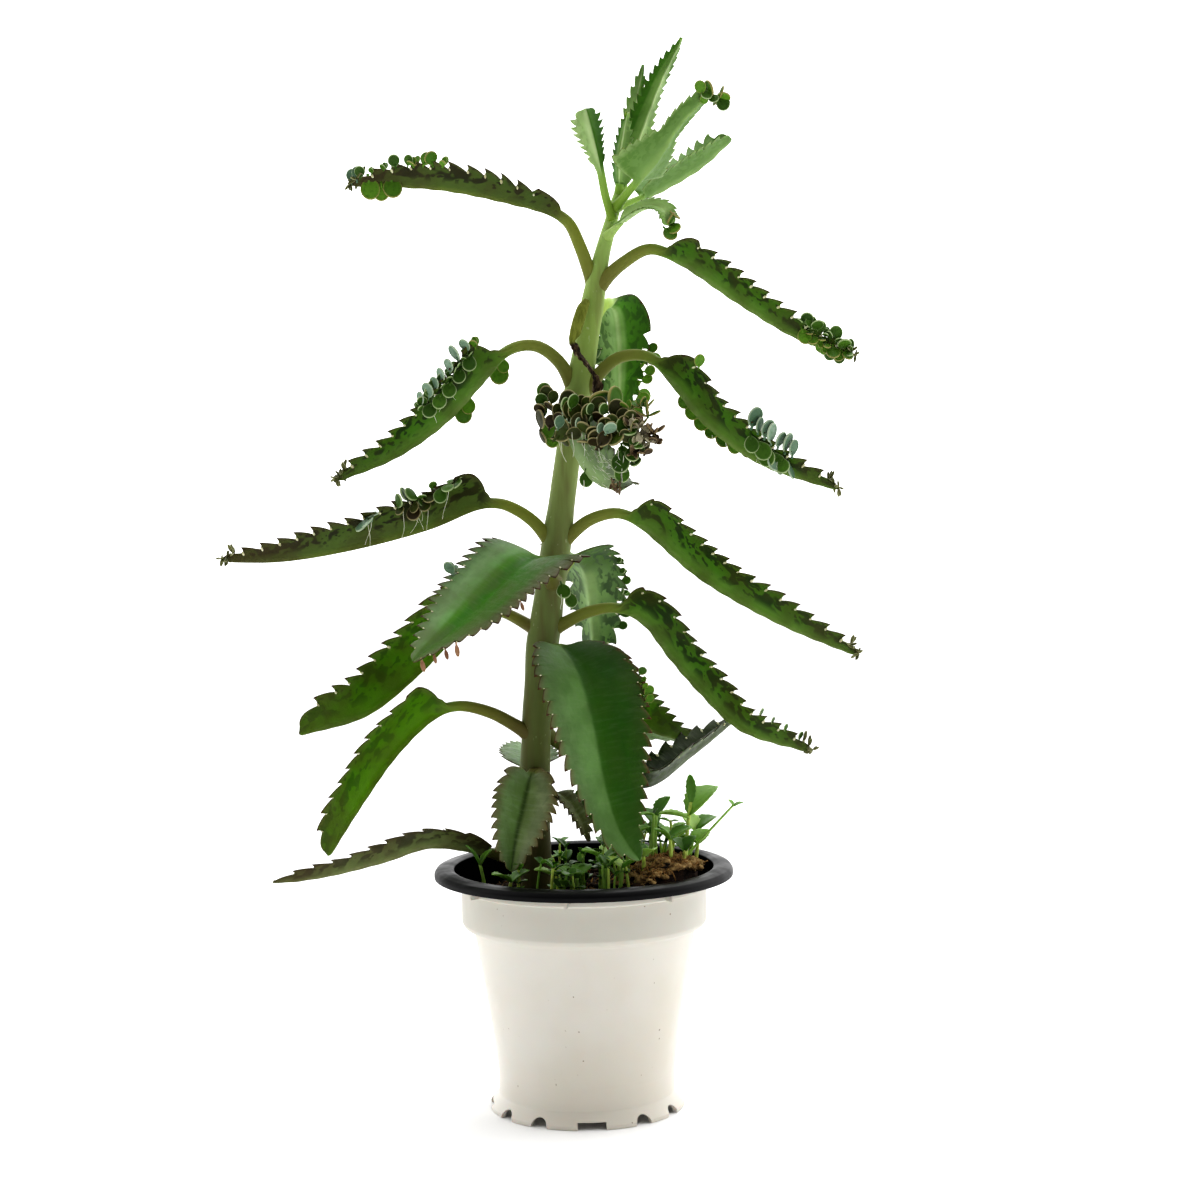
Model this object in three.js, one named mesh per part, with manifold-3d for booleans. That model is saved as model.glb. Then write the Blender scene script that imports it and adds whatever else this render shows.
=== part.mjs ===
import * as THREE from "three";
import { mergeVertices } from "three/addons/utils/BufferGeometryUtils.js";
import Module from "manifold-3d";

const wasm = await Module();
wasm.setup();

// Driving dimensions in millimetres: a nursery pot 102 mm across its rim, filled with peat,
// and one leaning kalanchoe stem with opposite leaves. +Z is up and the side that faces -Y is
// the front. Every piece is drawn about the pot's axis, standing on Z = 0; the last lines then
// put the origin under the middle of the whole plant.
const fit = 0.3;
const potSides = 30;
const rimRadius = 51;
const rimHeight = 83.2;
const footRadius = 33.3;
const bandRadius = 41.9;
const ledgeHeight = 63.1;
const flangeRadius = 44.4;
const flangeFoot = 76.9;
const flangeHeight = 79;
const shellThickness = 0.9;
const floorHeight = 5.2;
const stemSides = 9;
const petioleRadius = 1.9;
const ribThickness = 2.3;
const bladeThickness = 1.5;
const toothDepth = 2.7;
const plantletSize = 5.4;
const plantletRoot = 2.4;
const stalkRadius = 0.75;
const stalkDepth = 5;
const shortestEdge = 0.02;

// Colours and finishes
const whitePlastic = { color: 0xe4e2dd, roughness: 0.45, metalness: 0 };
const blackPlastic = { color: 0x16171a, roughness: 0.4, metalness: 0 };
const peat = { color: 0x2b211b, roughness: 0.97, metalness: 0 };
const stemGreen = { color: 0x94a878, roughness: 0.6, metalness: 0 };
const leafGreen = { color: 0x5f7d4f, roughness: 0.55, metalness: 0 };
const leafBlueGreen = { color: 0x8fae93, roughness: 0.55, metalness: 0 };
const leafGrey = { color: 0x6f6a52, roughness: 0.65, metalness: 0 };
const leafDry = { color: 0x6e4c2c, roughness: 0.85, metalness: 0 };
const sproutGreen = { color: 0x7d9a58, roughness: 0.5, metalness: 0 };

const upward = new THREE.Vector3(0, 0, 1);
const degrees = THREE.MathUtils.degToRad;

// A small seeded generator, so that the plantlets fall the same way each time
function seededRandom(seed) {
  let state = seed;
  return () => {
    state = (state * 1664525 + 1013904223) % 4294967296;
    return state / 4294967296;
  };
}

// Closed solids and the meshes made of them

function solidOfMesh(positions, triangles) {
  const mesh = new wasm.Mesh({
    numProp: 3,
    vertProperties: new Float32Array(positions),
    triVerts: new Uint32Array(triangles),
  });
  return new wasm.Manifold(mesh);
}

function solidOfGeometry(geometry) {
  const bare = geometry.clone();
  bare.deleteAttribute("normal");
  bare.deleteAttribute("uv");
  const merged = mergeVertices(bare, 1e-4);
  const index = Array.from(merged.index.array);
  const corners = [];
  for (let i = 0; i < index.length; i += 3) {
    const [a, b, c] = [index[i], index[i + 1], index[i + 2]];
    if (a !== b && b !== c && c !== a) corners.push(a, b, c);
  }
  return solidOfMesh(merged.attributes.position.array, corners);
}

// Where a join left two points closer together than the shortest edge, they become one, and
// the triangles that this flattens are dropped
function withoutShortEdges(solid) {
  const { vertProperties, triVerts } = solid.getMesh();
  const pointAt = (i) => new THREE.Vector3().fromArray(vertProperties, 3 * i);
  const standIn = Array.from({ length: vertProperties.length / 3 }, (_, i) => i);
  const find = (i) => (standIn[i] === i ? i : find(standIn[i]));
  for (let i = 0; i < triVerts.length; i++) {
    const a = find(triVerts[i]);
    const b = find(triVerts[i % 3 === 2 ? i - 2 : i + 1]);
    if (a !== b && pointAt(a).distanceTo(pointAt(b)) < shortestEdge) standIn[b] = a;
  }
  const corners = [];
  for (let i = 0; i < triVerts.length; i += 3) {
    const [a, b, c] = [find(triVerts[i]), find(triVerts[i + 1]), find(triVerts[i + 2])];
    if (a !== b && b !== c && c !== a) corners.push(a, b, c);
  }
  return solidOfMesh(vertProperties, corners);
}

function meshOfSolid(name, solid, finish) {
  const { vertProperties, triVerts } = withoutShortEdges(solid).getMesh();
  const geometry = new THREE.BufferGeometry();
  geometry.setAttribute("position", new THREE.BufferAttribute(vertProperties, 3));
  geometry.setIndex(new THREE.BufferAttribute(triVerts, 1));
  geometry.computeVertexNormals();
  const mesh = new THREE.Mesh(geometry, new THREE.MeshStandardMaterial(finish));
  mesh.name = name;
  return mesh;
}

function join(solids) {
  return solids.reduce((whole, solid) => whole.add(solid));
}

function turnedSolid(profile, sides) {
  const points = profile.map(([radius, height]) => new THREE.Vector2(radius, height));
  const lathe = new THREE.LatheGeometry(points, sides);
  lathe.rotateX(Math.PI / 2);
  return solidOfGeometry(lathe);
}

// A flat outline in the plane of (tangent, Z), pushed outward along a radius of the pot
function radialPrism(outline, fromRadius, toRadius, angle) {
  const shape = new THREE.Shape(outline.map(([x, y]) => new THREE.Vector2(x, y)));
  const prism = new THREE.ExtrudeGeometry(shape, { depth: toRadius - fromRadius, bevelEnabled: false });
  prism.translate(0, 0, fromRadius);
  prism.rotateX(Math.PI / 2);
  prism.rotateZ(angle + Math.PI / 2);
  return solidOfGeometry(prism);
}

// The pot: a white wall outside, and a black lining inside it whose lip rolls over the top

const bodyHeights = [13, 28, 44, 61.4];
const bodyRadii = [30.2, 32.2, 34.8, 37.8];

function bodyProfile(inset) {
  return bodyHeights.map((height, i) => [bodyRadii[i] - inset, height]);
}

function makePotWall() {
  const outside = [
    [0, floorHeight],
    [28.8, floorHeight],
    [31.6, 1.6],
    [31.6, 0],
    [footRadius, 0],
    [footRadius, 1.3],
    [30.1, 5.4],
    ...bodyProfile(0),
    [38.3, ledgeHeight - 0.4],
    [41.1, ledgeHeight],
    [bandRadius, ledgeHeight + 1.6],
    [bandRadius, flangeFoot - 0.7],
    [flangeRadius, flangeFoot],
    [flangeRadius, flangeHeight],
  ];
  const inside = [
    [flangeRadius - shellThickness, flangeHeight],
    [bandRadius - shellThickness, flangeFoot + 0.4],
    [bandRadius - shellThickness, ledgeHeight + 1.3],
    [37.2, ledgeHeight + 0.6],
    ...bodyProfile(shellThickness).reverse(),
    [29.1, floorHeight + shellThickness],
    [0, floorHeight + shellThickness],
  ];
  let wall = turnedSolid([...outside, ...inside], potSides);
  // Thin gussets under the lip
  const gussets = 8;
  const gusset = [[-0.4, flangeFoot], [0.4, flangeFoot], [0.4, flangeHeight], [-0.4, flangeHeight]];
  for (let i = 0; i < gussets; i++) {
    const angle = degrees(-97 + i * 360 / gussets);
    wall = wall.add(radialPrism(gusset, flangeRadius - 0.5, flangeRadius + 3, angle));
  }
  // The foot's scallops: one wide notch every quarter turn and two round ones between them
  const wide = [[-5.6, -1], [5.6, -1], [4.3, 2.5], [-4.3, 2.5]];
  const round = [];
  for (let k = 0; k <= 4; k++) {
    const turn = (k / 4) * Math.PI;
    round.push([3.2 * Math.cos(turn), 0.4 + 2.9 * Math.sin(turn)]);
  }
  round.push([-3.2, -1], [3.2, -1]);
  const [notchFrom, notchTo] = [footRadius - 3.1, footRadius + 1.7];
  for (let quarter = 0; quarter < 4; quarter++) {
    const start = -87 + quarter * 90;
    wall = wall.subtract(radialPrism(wide, notchFrom, notchTo, degrees(start)));
    for (const offset of [32, 58]) {
      wall = wall.subtract(radialPrism(round, notchFrom, notchTo, degrees(start + offset)));
    }
  }
  return wall;
}

function makePotLining() {
  const inset = shellThickness + fit;
  const outside = [
    [0, floorHeight + inset],
    [28.5, floorHeight + inset],
    ...bodyProfile(inset),
    [36.8, ledgeHeight + 1],
    [bandRadius - inset, ledgeHeight + 1.8],
    [bandRadius - inset, flangeFoot + 0.5],
    [flangeRadius - 1.3, flangeHeight + 0.4],
    [rimRadius - 6, rimHeight - 1.5],
    [rimRadius - 1.4, rimHeight - 1.8],
    [rimRadius - 0.9, rimHeight - 3.6],
    [rimRadius, rimHeight - 3.6],
    [rimRadius, rimHeight - 1.9],
    [rimRadius - 0.8, rimHeight - 0.7],
    [rimRadius - 2.7, rimHeight - 0.1],
    [rimRadius - 5, rimHeight],
  ];
  const inside = [
    [rimRadius - 6.5, rimHeight - 0.5],
    [bandRadius - inset - shellThickness, flangeFoot - 0.3],
    [bandRadius - inset - shellThickness, ledgeHeight + 2.4],
    ...bodyProfile(inset + shellThickness).reverse(),
    [27.8, floorHeight + inset + shellThickness],
    [0, floorHeight + inset + shellThickness],
  ];
  return turnedSolid([...outside, ...inside], potSides);
}

// Drain holes through both floors
function drainHoles() {
  const holes = [];
  for (let i = 0; i < 4; i++) {
    const hole = new THREE.CylinderGeometry(3.2, 3.2, 6, 8);
    hole.rotateX(Math.PI / 2);
    const angle = degrees(-42 + i * 90);
    hole.translate(17 * Math.cos(angle), 17 * Math.sin(angle), floorHeight + 1);
    holes.push(solidOfGeometry(hole));
  }
  return join(holes);
}

// The stem leans to the right. Each row is x, z and radius.
const stemStations = [
  [-16, 34, 3.2],
  [-16.2, 64, 5.2],
  [-16.3, 82, 5.7],
  [-16.3, 98, 5.4],
  [-16.3, 113, 5.8],
  [-15.7, 124, 5.2],
  [-15.1, 134, 5.6],
  [-14.2, 146, 5.3],
  [-13.1, 157, 6],
  [-11.5, 167, 6],
  [-10.1, 177, 5.4],
  [-8.7, 186, 5.7],
  [-7.1, 196, 5.8],
  [-5.3, 208, 5.2],
  [-3.4, 221, 5.1],
  [-1.3, 233, 5.2],
  [0.9, 246, 5],
  [3, 257, 4.4],
  [5, 269, 4.6],
  [7.2, 280, 4.3],
  [9.4, 290, 3.3],
  [12, 299, 2.7],
  [14.6, 308, 2.1],
  [15.6, 311.5, 1.3],
];

function makeStem(swell) {
  const positions = [];
  const triangles = [];
  const last = stemStations.length - 1;
  stemStations.forEach(([x, z, radius], row) => {
    for (let k = 0; k < stemSides; k++) {
      const turn = ((k + 0.5) / stemSides) * Math.PI * 2;
      const reach = (radius + swell) / Math.cos(Math.PI / stemSides);
      positions.push(x + reach * Math.cos(turn), reach * Math.sin(turn), z);
    }
    if (row === last) return;
    for (let k = 0; k < stemSides; k++) {
      const a = row * stemSides + k;
      const b = row * stemSides + (k + 1) % stemSides;
      triangles.push(a, b, b + stemSides, a, b + stemSides, a + stemSides);
    }
  });
  const foot = positions.length / 3;
  positions.push(stemStations[0][0], 0, stemStations[0][1] - 2 - swell);
  positions.push(stemStations[last][0] + 0.3, 0, stemStations[last][1] + 1 + swell);
  for (let k = 0; k < stemSides; k++) {
    const next = (k + 1) % stemSides;
    triangles.push(foot, next, k);
    triangles.push(foot + 1, last * stemSides + k, last * stemSides + next);
  }
  return solidOfMesh(positions, triangles);
}

// Leaves: a round petiole that opens into a blade folded along its rib, with saw teeth on both
// margins. Eight columns of points run from base to tip: the rib, the middle of each half and
// the margins, with a second set of rib and middle columns underneath.

function leafFrame(leaf, along) {
  const point = leaf.curve.getPointAt(along);
  const tangent = leaf.curve.getTangentAt(along);
  const across = leaf.across.clone().addScaledVector(tangent, -leaf.across.dot(tangent)).normalize();
  const facing = tangent.clone().cross(across).normalize();
  const turn = degrees(leaf.roll) * Math.min(1, along * 3);
  const turned = across.clone().multiplyScalar(Math.cos(turn)).addScaledVector(facing, Math.sin(turn));
  const normal = facing.clone().multiplyScalar(Math.cos(turn)).addScaledVector(across, -Math.sin(turn));
  return { point, tangent, across: turned, normal };
}

// How wide the blade is at a share t of its length: lobes at the base, then a long taper
function bladeShare(t, leaf) {
  const opening = Math.min(1, 0.3 + 0.7 * t / leaf.lobes);
  return opening * Math.pow(1 - Math.pow(t, leaf.fullness), 0.7);
}

// A point of the blade, at a signed distance from the rib, raised by half the thickness there
function bladePoint(leaf, along, distance, lift) {
  const frame = leafFrame(leaf, along);
  const side = Math.sign(distance) || 1;
  const fold = degrees(leaf.fold) * (1 - 0.35 * Math.min(1, Math.abs(distance) / leaf.width));
  const reach = Math.abs(distance);
  const halfNormal = frame.normal.clone().multiplyScalar(Math.cos(fold));
  halfNormal.addScaledVector(frame.across, -side * Math.sin(fold));
  const point = frame.point.clone();
  point.addScaledVector(frame.across, side * reach * Math.cos(fold));
  point.addScaledVector(frame.normal, reach * Math.sin(fold));
  return point.addScaledVector(distance === 0 ? frame.normal : halfNormal, lift);
}

function marginPlace(leaf, t, side, inset) {
  const share = bladeShare(t, leaf);
  const length = leaf.length * (1 - leaf.bladeFrom);
  const sweep = leaf.sweep * Math.max(0, 1 - t / 0.22) / length;
  const along = leaf.bladeFrom + (1 - leaf.bladeFrom) * Math.max(0, t - sweep);
  const distance = side * Math.max(0.8, leaf.width * share - inset * Math.sqrt(share));
  return { along, distance };
}

function prepareLeaf(leaf) {
  const curve = new THREE.CatmullRomCurve3(leaf.spine.map((p) => new THREE.Vector3(...p)));
  const out = curve.getPoint(1).sub(curve.getPoint(0)).setZ(0).normalize();
  const heading = leaf.heading === undefined ? out : new THREE.Vector3(
    Math.cos(degrees(leaf.heading)), Math.sin(degrees(leaf.heading)), 0);
  return {
    roll: 0, lobes: 0.12, sweep: 1.5, fullness: 2.2, ...leaf,
    curve,
    length: curve.getLength(),
    across: upward.clone().cross(heading).normalize(),
  };
}

// Joins two neighbouring columns with triangles, always stepping on the one that lags behind
function stitch(triangles, left, right) {
  let i = 0;
  let j = 0;
  while (i < left.length - 1 || j < right.length - 1) {
    const stepLeft = j === right.length - 1
      || (i < left.length - 1 && left[i + 1].t <= right[j + 1].t + 1e-9);
    if (stepLeft) {
      triangles.push(left[i].index, left[i + 1].index, right[j].index);
      i += 1;
    } else {
      triangles.push(left[i].index, right[j + 1].index, right[j].index);
      j += 1;
    }
  }
}

function makeLeaf(spec) {
  const leaf = prepareLeaf(spec);
  const positions = [];
  const triangles = [];
  const columns = Array.from({ length: 8 }, () => []);
  const put = (column, t, point) => {
    columns[column].push({ t, index: positions.length / 3 });
    positions.push(point.x, point.y, point.z);
  };
  // The petiole, eight-sided
  const petioleRows = 3;
  const radius = leaf.petiole ?? petioleRadius;
  for (let row = 0; row < petioleRows; row++) {
    const share = row / petioleRows;
    const frame = leafFrame(leaf, leaf.bladeFrom * share);
    for (let column = 0; column < 8; column++) {
      const turn = Math.PI - column * Math.PI / 4;
      const point = frame.point.clone();
      point.addScaledVector(frame.across, radius * (1.1 - 0.1 * share) * Math.cos(turn));
      point.addScaledVector(frame.normal, radius * Math.sin(turn) * (1.15 - 0.35 * share));
      put(column, share - 1, point);
    }
  }
  // The blade, from its lobes to just short of the tip
  for (let k = 0; k < leaf.teeth; k++) {
    const t = k / leaf.teeth;
    const along = leaf.bladeFrom + (1 - leaf.bladeFrom) * t;
    if (k < 2 || k % 2 === 1) {
      const share = bladeShare(t, leaf);
      const rib = ribThickness * (1 - 0.5 * t) / 2 * (leaf.stout ?? 1);
      const half = bladeThickness * (1 - 0.4 * t) / 2 * (leaf.stout ?? 1);
      const middle = leaf.width * share * 0.5;
      put(1, t, bladePoint(leaf, along, -middle, half));
      put(2, t, bladePoint(leaf, along, 0, rib * 0.7));
      put(3, t, bladePoint(leaf, along, middle, half));
      put(5, t, bladePoint(leaf, along, middle, -half));
      put(6, t, bladePoint(leaf, along, 0, -rib));
      put(7, t, bladePoint(leaf, along, -middle, -half));
    }
    const notch = k <= (leaf.smooth ?? 0) ? 0 : toothDepth;
    for (const [column, side] of [[0, -1], [4, 1]]) {
      const valley = marginPlace(leaf, t, side, notch);
      put(column, t, bladePoint(leaf, valley.along, valley.distance, 0));
      const tooth = marginPlace(leaf, t + 0.82 / leaf.teeth, side, 0);
      put(column, t + 0.6 / leaf.teeth, bladePoint(leaf, tooth.along, tooth.distance, 0));
    }
  }
  const tip = positions.length / 3;
  const end = leafFrame(leaf, 1).point;
  positions.push(end.x, end.y, end.z);
  columns.forEach((column) => column.push({ t: 1, index: tip }));
  for (let column = 0; column < 8; column++) {
    const left = columns[column];
    const right = columns[(column + 1) % 8];
    stitch(triangles, left.slice(0, -1), right.slice(0, -1));
    triangles.push(left.at(-2).index, tip, right.at(-2).index);
  }
  const base = positions.length / 3;
  const root = leafFrame(leaf, 0).point;
  positions.push(root.x, root.y, root.z);
  for (let column = 0; column < 8; column++) {
    triangles.push(base, columns[column][0].index, columns[(column + 1) % 8][0].index);
  }
  const blade = solidOfMesh(positions, triangles);
  return join([blade, ...makePlantlets(leaf)]);
}

// Plantlets: small round blades that stand in the notches of the margin, each narrowing to a
// stalk whose end is sunk in the leaf
const plantletOutline = [[0.45, 0.48], [0.9, 0.44], [1.12, 0], [0.9, -0.44], [0.45, -0.48]];

function plantletSolid(root, outward, normal, size) {
  const sidewise = normal.clone().cross(outward).normalize();
  const points = plantletOutline.map(([reach, side]) => root.clone()
    .addScaledVector(outward, reach * size).addScaledVector(sidewise, side * size));
  points.push(root.clone().addScaledVector(outward, -plantletRoot));
  const middle = root.clone().addScaledVector(outward, 0.55 * size);
  return lens(points, middle, normal, size * 0.2, size * 0.16);
}

// A closed double cone over a ring of points that runs anticlockwise as seen against the normal
function lens(ring, middle, normal, rise, drop) {
  const points = [...ring];
  points.push(middle.clone().addScaledVector(normal, rise));
  points.push(middle.clone().addScaledVector(normal, -drop));
  const count = ring.length;
  const triangles = [];
  for (let k = 0; k < count; k++) {
    const next = (k + 1) % count;
    triangles.push(k, count, next, k, next, count + 1);
  }
  return solidOfMesh(points.flatMap((point) => [point.x, point.y, point.z]), triangles);
}

function makePlantlets(leaf) {
  const random = seededRandom(leaf.seed ?? 7);
  const solids = [];
  for (const run of leaf.plantlets ?? []) {
    for (let k = run.from; k <= run.to; k += run.step ?? 1) {
      const t = k / leaf.teeth;
      const place = marginPlace(leaf, t, run.side, run.inset ?? toothDepth);
      const frame = leafFrame(leaf, place.along);
      const root = bladePoint(leaf, place.along, place.distance, 0);
      const inner = bladePoint(leaf, place.along, place.distance - run.side * 3, 0);
      const outward = root.clone().sub(inner).normalize();
      const normal = frame.tangent.clone().cross(outward).multiplyScalar(run.side).normalize();
      const lean = outward.clone().addScaledVector(normal, (run.tilt ?? 0) + (random() - 0.5) * 0.5);
      lean.addScaledVector(frame.tangent, (random() - 0.4) * 0.5).normalize();
      const facing = normal.clone().addScaledVector(lean, -normal.dot(lean)).normalize();
      const size = plantletSize * (run.size ?? 1) * (0.85 + 0.3 * random());
      solids.push(plantletSolid(root, lean, facing, size));
    }
  }
  return solids;
}

// The leaves, from the soil to the top. Each spine runs along the rib from the stem's middle.
// fold and roll are in degrees; width is that of half the blade.
const leaves = [
  {
    name: "leaf_soil_left", finish: leafGrey, width: 8.5, fold: 62, teeth: 12, bladeFrom: 0.16, lobes: 0.3,
    spine: [[-21, 0, 85], [-35.5, -1, 91], [-52, -3, 94], [-69, -5, 91.5], [-86, -6, 87], [-105.5, -7, 80]],
  },
  {
    name: "leaf_a_front", finish: leafGreen, width: 13, fold: 34, roll: -10, teeth: 8, bladeFrom: 0.24,
    heading: 262,
    spine: [[-15.5, -3, 115], [-17.5, -13, 114.5], [-20, -19, 105], [-22.5, -22, 95], [-24, -22.5, 85]],
  },
  {
    name: "leaf_a_back", finish: leafGreen, width: 12, fold: 30, teeth: 8, bladeFrom: 0.3, heading: 97,
    spine: [[-15.5, 3, 112], [-17.5, 15, 113], [-20, 34, 116], [-22.5, 52, 118]],
  },
  {
    name: "leaf_a_side", finish: leafGrey, width: 6, fold: 30, teeth: 7, bladeFrom: 0.3, heading: 305,
    spine: [[-14, -3, 105], [-8, -9, 108], [-2, -14, 103], [2, -16, 93.5]],
    plantlets: [{ side: 1, from: 2, to: 6, step: 2, size: 0.7 }],
  },
  {
    name: "leaf_b_left", finish: leafGreen, width: 14.5, fold: 62, teeth: 12, bladeFrom: 0.27, fullness: 4,
    spine: [[-17, -1, 128], [-31, -5, 136.5], [-42.5, -8, 139], [-50, -9, 135], [-61, -12, 123],
      [-71.5, -14, 107.5], [-83, -16, 91]],
  },
  {
    name: "leaf_b_back", finish: leafGreen, width: 14, fold: 50, teeth: 12, bladeFrom: 0.25, sweep: 0,
    spine: [[-13.5, 3, 129], [2.5, 10, 116], [21.5, 18, 105.5], [38.5, 30, 113], [55.5, 42, 126]],
  },
  {
    name: "leaf_c_front", finish: leafBlueGreen, width: 22, fold: 22, roll: -8, teeth: 12, bladeFrom: 0.16,
    heading: 290, fullness: 2, lobes: 0.12,
    spine: [[-11, -5, 154.5], [-6.5, -16, 158.5], [0, -28, 150], [4.5, -36, 134], [8, -41, 115],
      [12, -43, 102], [18.5, -42, 91.5]],
    plantlets: [{ side: 1, from: 1, to: 4, size: 0.8 }],
  },
  {
    name: "leaf_c_back", finish: leafGreen, width: 14, fold: 35, teeth: 11, bladeFrom: 0.25, heading: 50,
    spine: [[-10, 5, 154.5], [3, 20, 155], [19, 34, 144], [30.5, 43, 126], [34, 45, 106]],
  },
  {
    name: "leaf_d_left", finish: leafGreen, width: 17, fold: 64, teeth: 12, bladeFrom: 0.2, fullness: 4,
    spine: [[-13, -1, 163], [-29, 5, 170], [-40.5, 9, 164.5], [-55.5, 10, 149.5], [-74, 8, 135],
      [-94, 6, 128]],
  },
  {
    name: "leaf_d_right", finish: leafGreen, width: 15, fold: 60, teeth: 15, bladeFrom: 0.24, fullness: 2.6,
    spine: [[-11, 0, 163], [3.5, -3, 170], [13.5, -5, 171], [22, -6, 166.5], [31, -7, 154.5],
      [41, -8, 142.5], [54, -9, 130], [77.5, -10, 122]],
    plantlets: [{ side: 1, from: 4, to: 10, step: 6, size: 0.7 }],
  },
  {
    name: "leaf_e_front", finish: leafGreen, width: 23, fold: 20, roll: -12, teeth: 12, bladeFrom: 0.26,
    fullness: 2.6, heading: 221, lobes: 0.1,
    spine: [[-8.7, -4, 180], [-10, -15, 186.5], [-15, -23, 185.5], [-25, -31, 177.5], [-38, -41, 166],
      [-53, -50, 154]],
    plantlets: [{ side: -1, from: 5, to: 5, size: 0.8 }, { side: 1, from: 7, to: 11, size: 0.65 }],
  },
  {
    name: "leaf_e_back", finish: leafBlueGreen, width: 13, fold: 30, teeth: 11, bladeFrom: 0.25, heading: 62,
    spine: [[-7.5, 5, 182], [0, 20, 187], [7, 34, 181], [11.5, 42, 164], [12.5, 44, 149]],
    plantlets: [{ side: -1, from: 3, to: 6, step: 3, size: 0.8 }],
  },
  {
    name: "leaf_f_left", finish: leafGreen, width: 15.5, fold: 62, teeth: 14, bladeFrom: 0.22,
    spine: [[-8, 0, 192], [-19.5, -3, 203], [-26, -5, 208], [-34, -7, 206], [-49.5, -9, 200],
      [-76.5, -11, 193], [-99.5, -12, 189.5], [-119, -13, 189.5]],
    plantlets: [{ side: 1, from: 1, to: 8, size: 0.9, tilt: -0.7 }],
  },
  {
    name: "leaf_f_right", finish: leafGreen, width: 15, fold: 60, teeth: 16, bladeFrom: 0.24, fullness: 2.6,
    spine: [[-7, 0, 192], [4, -3, 201], [14, -5, 203], [21.5, -6, 199], [40.5, -8, 182],
      [67, -10, 166], [93, -11, 154.5]],
  },
  {
    name: "leaf_g_front", finish: leafGreen, width: 18, fold: 62, roll: -40, teeth: 10, bladeFrom: 0.16,
    heading: 322, fullness: 6, sweep: 9, seed: 13,
    spine: [[-2, -4, 231], [-5, -12, 230.5], [-2, -24, 224.5], [5, -36, 219.5], [15, -48, 214]],
    plantlets: [
      { side: -1, from: 0.3, to: 9.3, step: 1, size: 1.15 },
      { side: -1, from: 1.2, to: 9, step: 1, size: 1.15, inset: 5, tilt: -0.6 },
      { side: 1, from: 1, to: 9, step: 2, size: 1 },
    ],
  },
  {
    name: "leaf_h_left", finish: leafGreen, width: 14.5, fold: 60, teeth: 13, bladeFrom: 0.25, seed: 5,
    spine: [[0, 0, 243], [-5.5, -3, 254], [-13.5, -5, 259.5], [-22.5, -7, 258], [-30.5, -8, 249.5],
      [-44, -9, 235], [-60.5, -10, 223.5], [-80.5, -10, 215.5]],
    plantlets: [
      { side: -1, from: 0.5, to: 7, step: 1 },
      { side: 1, from: 1, to: 7, step: 1, tilt: -0.4 },
      { side: 1, from: 2, to: 6, step: 2, inset: 9, tilt: -0.9 },
    ],
  },
  {
    name: "leaf_h_right", finish: leafGreen, width: 14.5, fold: 58, teeth: 13, bladeFrom: 0.3, seed: 6,
    spine: [[1.5, 0, 243], [14, -3, 255], [25, -5, 255], [33.5, -7, 245.5], [43, -8, 233.5],
      [61.5, -9, 219.5], [87, -10, 210]],
    plantlets: [{ side: -1, from: 5, to: 9, step: 1 }, { side: 1, from: 7, to: 10, step: 1 }],
  },
  {
    name: "leaf_i_front_withered", finish: leafDry, width: 4.5, fold: 30, teeth: 5, bladeFrom: 0.35,
    heading: 285, petiole: 2.6, sweep: 0,
    spine: [[5, -4, 270.5], [3, -10, 266], [1.5, -13, 260], [4.5, -14, 252], [10, -14, 242]],
  },
  {
    name: "leaf_i_back", finish: leafGreen, width: 12, fold: 32, roll: -14, teeth: 10, bladeFrom: 0.28,
    heading: 62, sweep: 0, lobes: 0.3, smooth: 3, seed: 8,
    spine: [[5, 3, 267], [10, 12, 274], [13.5, 21, 272.5], [15, 27, 261], [15, 29, 245], [14, 29, 232]],
    plantlets: [{ side: -1, from: 2, to: 8, step: 1.5 }, { side: 1, from: 4, to: 8, step: 2 }],
  },
  {
    name: "leaf_j_left", finish: leafGreen, width: 11.5, fold: 58, teeth: 12, bladeFrom: 0.27, seed: 9,
    spine: [[7, 0, 279], [2, -3, 292.5], [-2, -4, 300.5], [-8, -5, 304], [-21, -7, 306], [-41, -9, 309],
      [-57, -10, 310], [-73.5, -11, 309]],
    plantlets: [{ side: -1, from: 8, to: 11, step: 1 }, { side: 1, from: 8, to: 11, step: 1.5 }],
  },
  {
    name: "leaf_j_right", finish: leafGreen, width: 12, fold: 58, teeth: 13, bladeFrom: 0.26, seed: 10,
    spine: [[7.5, 0, 279], [16, -3, 286.5], [25.5, -5, 291], [36, -6, 286.5], [55, -8, 273],
      [75, -9, 260.5], [93, -10, 254]],
    plantlets: [{ side: -1, from: 10, to: 12, step: 1 }, { side: 1, from: 10, to: 12, step: 1 }],
  },
  {
    name: "leaf_k_right", finish: leafBlueGreen, width: 7.5, fold: 25, roll: 35, teeth: 6, bladeFrom: 0.3,
    petiole: 1.3, stout: 0.8, smooth: 3,
    spine: [[11, -1, 295.5], [18, -8, 301], [25, -12, 303], [31, -15, 299.5], [34, -17, 293]],
    plantlets: [{ side: -1, from: 4, to: 5, size: 0.7 }, { side: 1, from: 4, to: 5, size: 0.7 }],
  },
  {
    name: "leaf_l_left", finish: leafBlueGreen, width: 8, fold: 42, roll: 20, teeth: 6, bladeFrom: 0.45,
    petiole: 1.3, stout: 0.8, heading: 240, lobes: 0.5, fullness: 6, sweep: 0,
    spine: [[13, -1, 301.5], [10.8, -4, 308.5], [9.2, -6, 317], [7.2, -8, 326], [4.5, -10, 337]],
  },
  {
    name: "leaf_l_behind", finish: leafGreen, width: 11, fold: 58, teeth: 8, bladeFrom: 0.3, petiole: 1.3,
    stout: 0.8, lobes: 0.3, fullness: 4,
    spine: [[13.8, 1, 305], [22, 9, 309], [29.5, 14, 312.5], [43.5, 18, 320.5], [54.5, 20, 330]],
  },
  {
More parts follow.
